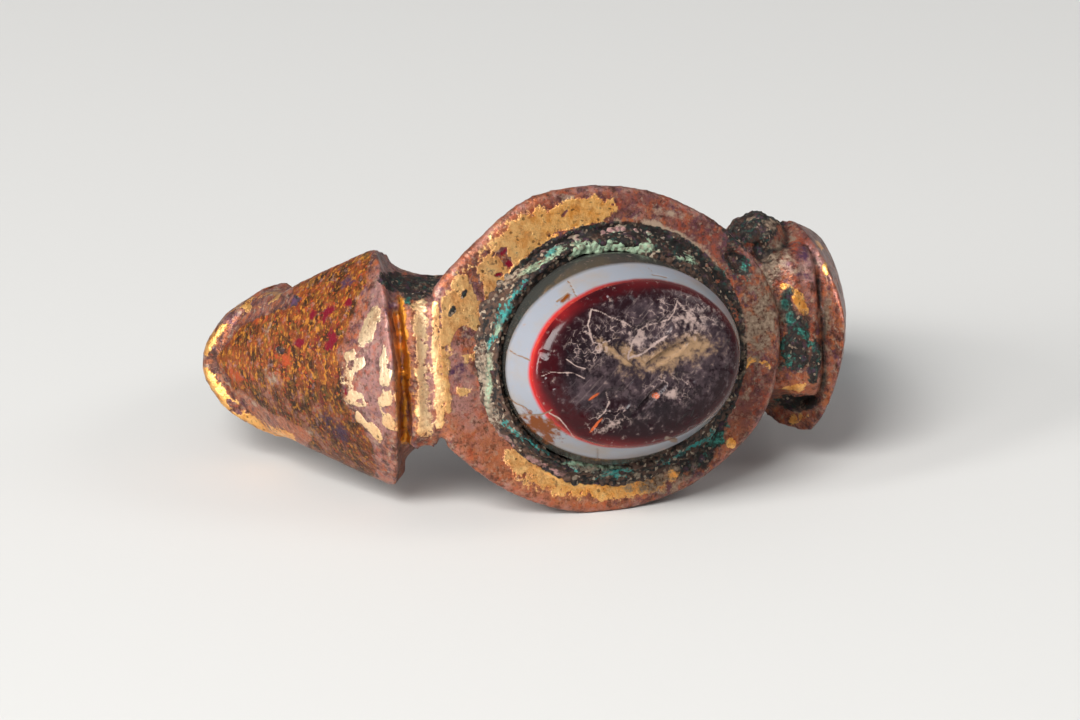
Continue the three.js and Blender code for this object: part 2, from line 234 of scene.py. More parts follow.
# How much each painted layer of a piece covers, from its spots and from its strokes
def paintOf(piece, surface, tree):
    spots = {layer: spotCover(surface, tree, *paint) for layer, paint in piece["spots"].items()}
    strokes = {layer: strokeCover(surface, *paint) for layer, paint in piece["strokes"].items()}
    return spots, strokes


def surfaceOf(points, normals, wobble):
    picture = inPicture(points)
    drift = np.stack([rough(points, 0.7, seed) for seed in (3, 11)], axis=1)
    eye = np.array(toRing @ cameraPlace.translation)
    facing = np.sum((eye - points) * normals, axis=1) / np.linalg.norm(eye - points, axis=1)
    return {
        "points": points,
        "picture": picture + drift * wobble,
        "facing": facing,
    }


def pointsOf(data):
    flat = np.zeros(len(data.vertices) * 3)
    data.vertices.foreach_get("co", flat)
    return flat.reshape(-1, 3)


def normalsOf(data):
    flat = np.zeros(len(data.vertices) * 3, np.float32)
    data.vertex_normals.foreach_get("vector", flat)
    return flat.reshape(-1, 3).astype(float)


# How far each point lies in a hollow, in mm; below zero on edges and bumps
def hollowness(data, points, normals, rounds):
    ends = np.zeros(len(data.edges) * 2, np.int64)
    data.edges.foreach_get("vertices", ends)
    first, second = ends.reshape(-1, 2).T
    count = np.bincount(ends, minlength=len(points))[:, None]
    eased = points
    for _ in range(rounds):
        total = np.zeros_like(points)
        for axis in range(3):
            total[:, axis] = np.bincount(first, eased[second, axis], len(points))
            total[:, axis] += np.bincount(second, eased[first, axis], len(points))
        eased = total / count
    return np.sum((eased - points) * normals, axis=1)


# Puts a finished mesh into the scene, laid down as the ring lies, with its painted layers
def placePiece(name, data, points, layers, material):
    data.vertices.foreach_set("co", points.ravel())
    data.transform(toRing.inverted())
    inside = np.clip(pointsOf(data), cadBox[0], cadBox[1])
    data.vertices.foreach_set("co", inside.ravel())
    for layer, values in layers.items():
        attribute = data.attributes.new(layer, "FLOAT", "POINT")
        attribute.data.foreach_set("value", np.asarray(values, np.float32))
    data.materials.clear()
    data.materials.append(material)
    data.shade_smooth()
    data.update()
    piece = bpy.data.objects.new(name, data)
    bpy.context.scene.collection.objects.link(piece)
    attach(piece, "root")
    return piece


# Materials

def linear(code):
    values = [int(code[i:i + 2], 16) / 255 for i in (1, 3, 5)]
    return tuple(v / 12.92 if v <= 0.04045 else ((v + 0.055) / 1.055) ** 2.4 for v in values) + (1,)


# An input that is given a socket is linked to it, and any other is set to its value
def addNode(tree, kind, settings=None, inputs=None):
    node = tree.nodes.new("ShaderNode" + kind)
    for name, value in (settings or {}).items():
        setattr(node, name, value)
    for name, value in (inputs or {}).items():
        if isinstance(value, bpy.types.NodeSocket):
            tree.links.new(value, node.inputs[name])
        else:
            node.inputs[name].default_value = value
    return node


def newMaterial(name, colours):
    material = bpy.data.materials.new(name)
    material.use_nodes = True
    tree = material.node_tree
    colour = {tint: linear(code) for tint, code in colours.items()}
    return material, tree, tree.nodes["Principled BSDF"], colour


# A material's patterns, in ring coordinates. Each is so many mm across, with its detail, its
# roughness and, where it is streaked, how finely it is drawn along x, y and z.
def patternsOf(tree, sizes):
    place = addNode(tree, "TexCoord").outputs["Object"]
    inputs = {"Location": toRing.translation, "Rotation": toRing.to_euler(), "Scale": toRing.to_scale()}
    place = addNode(tree, "Mapping", None, {0: place, **inputs}).outputs[0]
    patterns = {"place": place}
    for name, (acrossMm, detail, roughness, *streak) in sizes.items():
        where = place
        if streak:
            where = addNode(tree, "Mapping", None, {0: place, "Scale": streak[0]}).outputs[0]
        inputs = {"Vector": where, "Scale": 1 / acrossMm, "Detail": detail, "Roughness": roughness}
        noise = addNode(tree, "TexNoise", None, inputs)
        patterns[name] = noise.outputs["Fac"]
        patterns[name + "Colour"] = noise.outputs["Color"]
    return patterns


# Painted layers with their edges broken up by a pattern: 1 where a layer covers, 0 where it doesn't.
# Each edge has its pattern, its raggedness and its softness.
def addEdges(tree, patterns, edges):
    for layer, (pattern, raggedness, softness) in edges.items():
        painted = addNode(tree, "Attribute", {"attribute_name": layer}).outputs["Fac"]
        shift = addNode(tree, "Math", {"operation": "SUBTRACT"}, {0: patterns[pattern], 1: 0.5})
        inputs = {0: shift.outputs[0], 1: raggedness, 2: painted}
        broken = addNode(tree, "Math", {"operation": "MULTIPLY_ADD"}, inputs).outputs[0]
        inputs = {"Value": broken, "From Min": 0.5 - softness, "From Max": 0.5 + softness}
        cover = addNode(tree, "MapRange", {"interpolation_type": "SMOOTHSTEP"}, inputs)
        patterns[layer] = cover.outputs[0]


# Lays coats over a colour one by one. A coat has its pattern, the values where it starts to show
# and where it is full, its strength and its colour.
def coated(tree, shown, coats, patterns, colour):
    for pattern, low, high, strength, tint in coats:
        inputs = {"Value": patterns[pattern], "From Min": low, "From Max": high, "To Max": strength}
        share = addNode(tree, "MapRange", None, inputs).outputs[0]
        inputs = {0: share, 6: shown, 7: colour[tint]}
        shown = addNode(tree, "Mix", {"data_type": "RGBA"}, inputs).outputs[2]
    return shown


# Cast bronze under worn mercury gilding: gold film in islands with a soft gleam, over a smooth
# red-brown to mauve oxide skin, grainy olive-brown patina on the leaves and dull black crust
bronzeColours = {
    "gold": "#e89a48",
    "goldPale": "#ffc87c",
    "goldDirty": "#94562a",
    # cream gold for burnish and for painted highlights
    "burnishedHighlight": "#ffe8c4",
    "mauve": "#6b3d33",
    "mauvePale": "#a87262",
    "blushAndHighlight": "#a27a76",
    "soil": "#8a7763",
    "warm": "#a9633f",
    "maroon": "#613537",
    "brown": "#43281f",
    "olive": "#3a200c",
    "leafBrown": "#86421a",
    "leafGold": "#c27d2c",
    "amber": "#cc842e",
    "leafOchre": "#7d5a24",
    "rust": "#a9441f",
    "crimson": "#74091f",
    "purple": "#4d3145",
    "beige": "#a38b76",
    "black": "#13100e",
    "crustGrey": "#2f2722",
    "verdigris": "#17423a",
    "turquoise": "#3c8576",
}
# sizes in mm; the leaves' patina is streaked across them, half as long again as wide
bronzePatterns = {
    "broad": (1.6, 4.0, 0.6),
    "middling": (0.5, 6.0, 0.68),
    "fine": (0.14, 4.0, 0.6),
    "mottle": (0.4, 6.0, 0.72),
    "patches": (0.6, 5.0, 0.66, (1.0, 1.0, 0.7)),
    "glints": (0.16, 3.0, 0.6, (1.0, 1.0, 0.7)),
}
bronzeEdges = {
    "warm": ("middling", 1.6, 0.3),
    "maroon": ("middling", 1.6, 0.3),
    "blushAndHighlight": ("middling", 1.6, 0.3),
    "leafPink": ("patches", 2.4, 0.2),
    "olive": ("middling", 0.7, 0.12),
    "rust": ("middling", 2.2, 0.16),
    "beige": ("ragged", 1.8, 0.18),
    "gild": ("ragged", 1.2, 0.05),
    "crimson": ("middling", 2.0, 0.12),
    "crust": ("middling", 0.9, 0.07),
    "soil": ("middling", 2.4, 0.25),
    "purple": ("middling", 2.0, 0.16),
    "green": ("middling", 2.2, 0.16),
}
# Each finish has its ground colour and the coats over it
bronzeFinishes = {
    "oxideSkin": ("mauve", (
        ("middling", 0.4, 0.62, 1.0, "mauvePale"),
        ("broad", 0.46, 0.6, 0.7, "brown"),
        ("warmPart", 0.5, 0.58, 0.8, "warm"),
        ("purplePart", 0.53, 0.6, 0.7, "purple"),
        ("palePart", 0.55, 0.63, 0.8, "beige"),
        ("warmPart", 0.44, 0.38, 0.7, "brown"),
        ("warm", 0.0, 1.0, 0.62, "warm"),
        ("maroon", 0.0, 1.0, 0.62, "maroon"),
        ("blushAndHighlight", 0.0, 1.0, 0.62, "blushAndHighlight"),
        ("paleFleck", 0.9, 0.97, 0.4, "beige"),
        ("brownFleck", 0.9, 0.96, 0.4, "brown"),
        ("warmPart", 0.46, 0.4, 0.55, "brown"),
        ("purplePart", 0.46, 0.4, 0.4, "rust"),
        ("fine", 0.42, 0.34, 0.6, "olive"),
    )),
    "leafPatina": ("olive", (
        ("patches", 0.42, 0.56, 1.0, "leafBrown"),
        ("warmPart", 0.53, 0.6, 0.7, "leafOchre"),
        ("leafPink", 0.0, 1.0, 1.0, "mauvePale"),
        ("purplePart", 0.57, 0.62, 0.6, "crimson"),
        ("palePart", 0.57, 0.62, 0.5, "blushAndHighlight"),
        ("glints", 0.54, 0.62, 0.85, "leafGold"),
        ("redFleck", 0.92, 0.96, 0.8, "rust"),
        ("brownFleck", 0.8, 0.92, 0.45, "olive"),
    )),
    "gilding": ("gold", (
        ("middling", 0.4, 0.62, 1.0, "goldPale"),
        ("burnishAndHighlight", 0.0, 1.0, 1.0, "burnishedHighlight"),
        # darker amber gold in the neck's groove: painted shade in the groove
        ("groove", 0.0, 1.0, 1.0, "amber"),
        ("warmPart", 0.52, 0.66, 0.6, "warm"),
        ("fine", 0.58, 0.7, 0.45, "goldDirty"),
        ("purplePart", 0.58, 0.64, 0.6, "mauve"),
        ("brownFleck", 0.96, 0.99, 0.7, "brown"),
    )),
    "blackCrust": ("black", (
        ("fine", 0.42, 0.7, 1.0, "crustGrey"),
        ("redFleck", 0.76, 0.9, 0.5, "verdigris"),
        ("paleFleck", 0.93, 0.97, 0.6, "beige"),
        ("warmPart", 0.5, 0.62, 0.8, "brown"),
        ("palePart", 0.57, 0.67, 0.4, "soil"),
        ("purplePart", 0.54, 0.62, 0.5, "purple"),
    )),
    "driedSoil": ("brown", (
        ("fine", 0.36, 0.62, 1.0, "soil"),
        ("middling", 0.5, 0.66, 0.7, "beige"),
    )),
    "greenCrust": ("verdigris", (
        ("fine", 0.46, 0.66, 1.0, "turquoise"),
        ("brownFleck", 0.7, 0.85, 0.8, "black"),
    )),
}
# The painted layers from the lowest up, each with its colour or finish
bronzeLayers = {
    "olive": "leafPatina",
    "rust": "rust",
    "beige": "beige",
    "gild": "gilding",
    "crimson": "crimson",
    "crust": "blackCrust",
    "soil": "driedSoil",
    "purple": "purple",
    "green": "greenCrust",
    # black grime with painted shade in the hollows and on the leaf's lower part, and darker towards the
    # back of the hoop
    "grimeAndShade": "black",
}


def gildedBronze():
    material, tree, shader, colour = newMaterial("gildedBronze", bronzeColours)
    patterns = patternsOf(tree, bronzePatterns)
    fine = patterns["fine"]
    # flecks of about 0.05 mm, drawn at 0.1 mm so that they show
    flecks = addNode(tree, "TexVoronoi", None, {"Vector": patterns["place"], "Scale": 1 / 0.1})
    # a colour's three channels make three patterns that don't follow each other
    for split, names in (
        (flecks.outputs["Color"], ("redFleck", "brownFleck", "paleFleck")),
        (patterns["mottleColour"], ("warmPart", "purplePart", "palePart")),
    ):
        patterns.update(zip(names, addNode(tree, "SeparateColor", None, {0: split}).outputs))
    inputs = {0: 0.2, 6: patterns["middling"], 7: fine}
    patterns["ragged"] = addNode(tree, "Mix", {"data_type": "RGBA"}, inputs).outputs[2]
    addEdges(tree, patterns, bronzeEdges)
    for layer in ("burnishAndHighlight", "groove"):
        patterns[layer] = addNode(tree, "Attribute", {"attribute_name": layer}).outputs["Fac"]
    # grime and painted shade, broken up by the fine grain
    grimeAndShade = addNode(tree, "Attribute", {"attribute_name": "grimeAndShade"}).outputs["Fac"]
    grains = {"Value": fine, "From Min": 0.3, "From Max": 0.6, "To Min": 0.7, "To Max": 1.3}
    grainy = addNode(tree, "MapRange", None, grains).outputs[0]
    grainyGrimeAndShade = addNode(tree, "Math", {"operation": "MULTIPLY", "use_clamp": True}, {0: grimeAndShade, 1: grainy})
    patterns["grimeAndShade"] = grainyGrimeAndShade.outputs[0]

    for finish, (ground, coats) in bronzeFinishes.items():
        colour[finish] = coated(tree, colour[ground], coats, patterns, colour)
    coats = [(layer, 0.0, 1.0, 1.0, tint) for layer, tint in bronzeLayers.items()]
    shown = coated(tree, colour["oxideSkin"], coats, patterns, colour)
    tree.links.new(shown, shader.inputs["Base Color"])

    # gold gleams, the oxide skin half as much, and crust is dull
    gilded, crusted = patterns["gild"], patterns["crust"]
    bare = addNode(tree, "Math", {"operation": "SUBTRACT", "use_clamp": True}, {0: 1.0, 1: crusted})
    shine = addNode(tree, "Math", {"operation": "MULTIPLY_ADD"}, {0: gilded, 1: 0.5, 2: 0.4})
    metal = addNode(tree, "Math", {"operation": "MULTIPLY"}, {0: shine.outputs[0], 1: bare.outputs[0]})
    tree.links.new(metal.outputs[0], shader.inputs["Metallic"])
    dull = {0: patterns["olive"], 1: 0.08, 2: 0.24}
    for cover, rise in ((crusted, 0.4), (fine, 0.2)):
        dulled = addNode(tree, "Math", {"operation": "MULTIPLY_ADD"}, dull).outputs[0]
        dull = {0: cover, 1: rise, 2: dulled}
    dulled = addNode(tree, "Math", {"operation": "MULTIPLY_ADD"}, dull).outputs[0]
    tree.links.new(dulled, shader.inputs["Roughness"])
    # the oxide skin is porous, so its own shine is weak beside the metal's
    shader.inputs["Specular IOR Level"].default_value = 0.3

    height = addNode(tree, "Math", {"operation": "MULTIPLY_ADD"}, {0: gilded, 1: 0.4, 2: fine})
    bump = {"Strength": 0.7, "Distance": 0.06 * mm, "Height": height.outputs[0]}
    tree.links.new(addNode(tree, "Bump", None, bump).outputs[0], shader.inputs["Normal"])
    return material


# Copper corrosion mixed with soil, grown in the setting: dull, gritty, black to beige with green
crustColours = {
    "black": "#0f0d0c",
    "brown": "#4a3326",
    "beige": "#8f7f6c",
    "purple": "#96706b",
    "rust": "#8a4428",
    "turquoise": "#2b827c",
    "paleGreen": "#8ea488",
}
crustPatterns = {
    "fine": (0.14, 4.0, 0.6),
    "patch": (0.7, 4.0, 0.6),
}
crustGrit = (
    ("brownGrain", 0.4, 0.7, 1.0, "brown"),
    ("patch", 0.5, 0.62, 0.8, "brown"),
    ("beigeGrain", 0.88, 0.94, 1.0, "beige"),
)
# The painted layers from the lowest up; the grit shows through each of them
crustEdges = {
    "purple": ("fine", 0.5, 0.12),
    "turquoise": ("fine", 1.5, 0.12),
    "paleGreen": ("fine", 0.7, 0.12),
    "beige": ("fine", 1.6, 0.12),
    "rust": ("fine", 1.6, 0.12),
}


def corrosionCrust():
    material, tree, shader, colour = newMaterial("corrosionCrust", crustColours)
    patterns = patternsOf(tree, crustPatterns)
    # soil grains of 0.1 mm and less, drawn at 0.13 mm
    grit = addNode(tree, "TexVoronoi", None, {"Vector": patterns["place"], "Scale": 1 / 0.13})
    parts = addNode(tree, "SeparateColor", None, {0: grit.outputs["Color"]}).outputs
    patterns.update(zip(("brownGrain", "beigeGrain", "greenGrain"), parts))
    addEdges(tree, patterns, crustEdges)
    shown = coated(tree, colour["black"], crustGrit, patterns, colour)
    for layer in crustEdges:
        colour["under"] = shown
        colour["gritty"] = coated(
            tree, colour[layer], [("greenGrain", 0.2, 1.0, 0.8, "under")], patterns, colour
        )
        shown = coated(tree, shown, [(layer, 0.0, 1.0, 1.0, "gritty")], patterns, colour)
    tree.links.new(shown, shader.inputs["Base Color"])
    shader.inputs["Roughness"].default_value = 0.78
    bump = {"Strength": 0.8, "Distance": 0.05 * mm, "Height": patterns["fine"]}
    tree.links.new(addNode(tree, "Bump", None, bump).outputs[0], shader.inputs["Normal"])
    return material


# Banded agate, ground and polished: a dark lower layer, a milky white band, a thin red seam and a
# purple-black top layer, glossy where it is whole and dull where it is worn and dirt has settled
agateColours = {
    "base": "#3a3a36",
    "band": "#888b92",
    "bandWarm": "#8f857c",
    "seam": "#b42526",
    "seamDark": "#5a1c1c",
    "maroon": "#28040a",
    "top": "#160d11",
    "worn": "#2b2025",
    "wornPale": "#4d3e41",
    "scratch": "#8c7a74",
    "thinTop": "#30060b",
    "ochre": "#8f7255",
    "pink": "#a08a82",
    "crack": "#7d6350",
    "amber": "#6a3409",
    "orange": "#b4532a",
}
agatePatterns = {
    "broad": (1.5, 4.0, 0.6),
    "fine": (0.25, 4.0, 0.6),
    "clouds": (0.5, 6.0, 0.6),
}
# Each layer of the stone: the height of its foot in mm, how softly it starts, and its colour
agateSeams = (
    (2.11, 0.12, "milky"),
    (3.23, 0.07, "redSeam"),
    (3.62, 0.3, "maroon"),
    (3.94, 0.22, "top"),
)
agateEdges = {
    "thin": ("broad", 0.6, 0.4),
    "worn": ("fine", 1.2, 0.3),
    "ochre": ("fine", 1.5, 0.25),
    "pink": ("fine", 2.2, 0.3),
    "orange": ("fine", 0.6, 0.15),
    "amber": ("fine", 1.6, 0.25),
    "crack": ("fine", 0.6, 0.2),
}
agateLayers = {
    "thin": "thinTop",
    "worn": "scuffed",
    "ochre": "ochre",
    "pink": "pink",
    "orange": "orange",
    "amber": "amber",
    "crack": "crack",
    "netted": "pink",
}


def bandedAgate():
    material, tree, shader, colour = newMaterial("bandedAgate", agateColours)
    patterns = patternsOf(tree, agatePatterns)
    place, fine = patterns["place"], patterns["fine"]
    addEdges(tree, patterns, agateEdges)
    parts = addNode(tree, "SeparateXYZ", None, {0: place}).outputs
    patterns["across"] = parts[0]
    rise = addNode(tree, "Math", {"operation": "MULTIPLY"}, {0: parts[1], 1: -1.0}).outputs[0]
    # the layers are level to about a tenth of a millimetre
    level = {0: patterns["broad"], 1: 0.16, 2: rise}
    patterns["level"] = addNode(tree, "Math", {"operation": "MULTIPLY_ADD"}, level).outputs[0]
    stained = [("broad", 0.45, 0.75, 1.0, "bandWarm")]
    colour["milky"] = coated(tree, colour["band"], stained, patterns, colour)
    # the seam darkens to the right
    darkened = [("across", -4.2, 0.5, 1.0, "seamDark")]
    colour["redSeam"] = coated(tree, colour["seam"], darkened, patterns, colour)
    seams = [("level", foot - soft, foot + soft, 1.0, tint) for foot, soft, tint in agateSeams]
    shown = coated(tree, colour["base"], seams, patterns, colour)

    # dirt has dried in a net of fine scratches, real ones 0.02 mm wide and drawn at 0.04 mm
    bent = addNode(tree, "TexNoise", None, {"Vector": place, "Scale": 1.1, "Detail": 4.0})
    inputs = {0: bent.outputs["Color"], 1: (1.6, 1.6, 1.6), 2: place}
    bent = addNode(tree, "VectorMath", {"operation": "MULTIPLY_ADD"}, inputs).outputs[0]
    net = addNode(tree, "TexVoronoi", {"feature": "DISTANCE_TO_EDGE"}, {"Vector": bent, "Scale": 2.4})
    inputs = {"Value": net.outputs["Distance"], "From Min": 0.06, "From Max": 0.015}
    threads = addNode(tree, "MapRange", None, inputs).outputs[0]
    gaps = addNode(tree, "MapRange", None, {"Value": fine, "From Min": 0.42, "From Max": 0.6}).outputs[0]
    zone = addNode(tree, "Attribute", {"attribute_name": "net"}).outputs["Fac"]
    for share in (gaps, zone):
        threads = addNode(tree, "Math", {"operation": "MULTIPLY"}, {0: threads, 1: share}).outputs[0]
    patterns["netted"] = threads
    # scuffs run up across the top to the right, thin as hairs
    turned = addNode(tree, "Mapping", None, {0: place, "Rotation": (0, 0.7, 0)}).outputs[0]
    drawn = addNode(tree, "Mapping", None, {0: turned, "Scale": (0.5, 1, 8)}).outputs[0]
    inputs = {"Vector": drawn, "Scale": 1 / 0.8, "Detail": 2.0, "Roughness": 0.6}
    patterns["scratches"] = addNode(tree, "TexNoise", None, inputs).outputs["Fac"]
    scuffs = [("clouds", 0.42, 0.64, 1.0, "wornPale"), ("scratches", 0.58, 0.7, 0.35, "scratch")]
    colour["scuffed"] = coated(tree, colour["worn"], scuffs, patterns, colour)

    coats = [(layer, 0.0, 1.0, 1.0, tint) for layer, tint in agateLayers.items()]
    shown = coated(tree, shown, coats, patterns, colour)
    tree.links.new(shown, shader.inputs["Base Color"])
    gloss = addNode(tree, "MapRange", None, {"Value": patterns["worn"], "To Min": 0.16, "To Max": 0.4})
    tree.links.new(gloss.outputs[0], shader.inputs["Roughness"])
    shader.inputs["IOR"].default_value = 1.54
    # dirt in the worn polish takes away part of the shine
    shader.inputs["Specular IOR Level"].default_value = 0.19
    bump = {"Strength": 0.12, "Distance": 0.02 * mm, "Height": fine}
    tree.links.new(addNode(tree, "Bump", None, bump).outputs[0], shader.inputs["Normal"])
    return material


bronzeMaterial = gildedBronze()
crustMaterial = corrosionCrust()
agateMaterial = bandedAgate()
print("materials made")


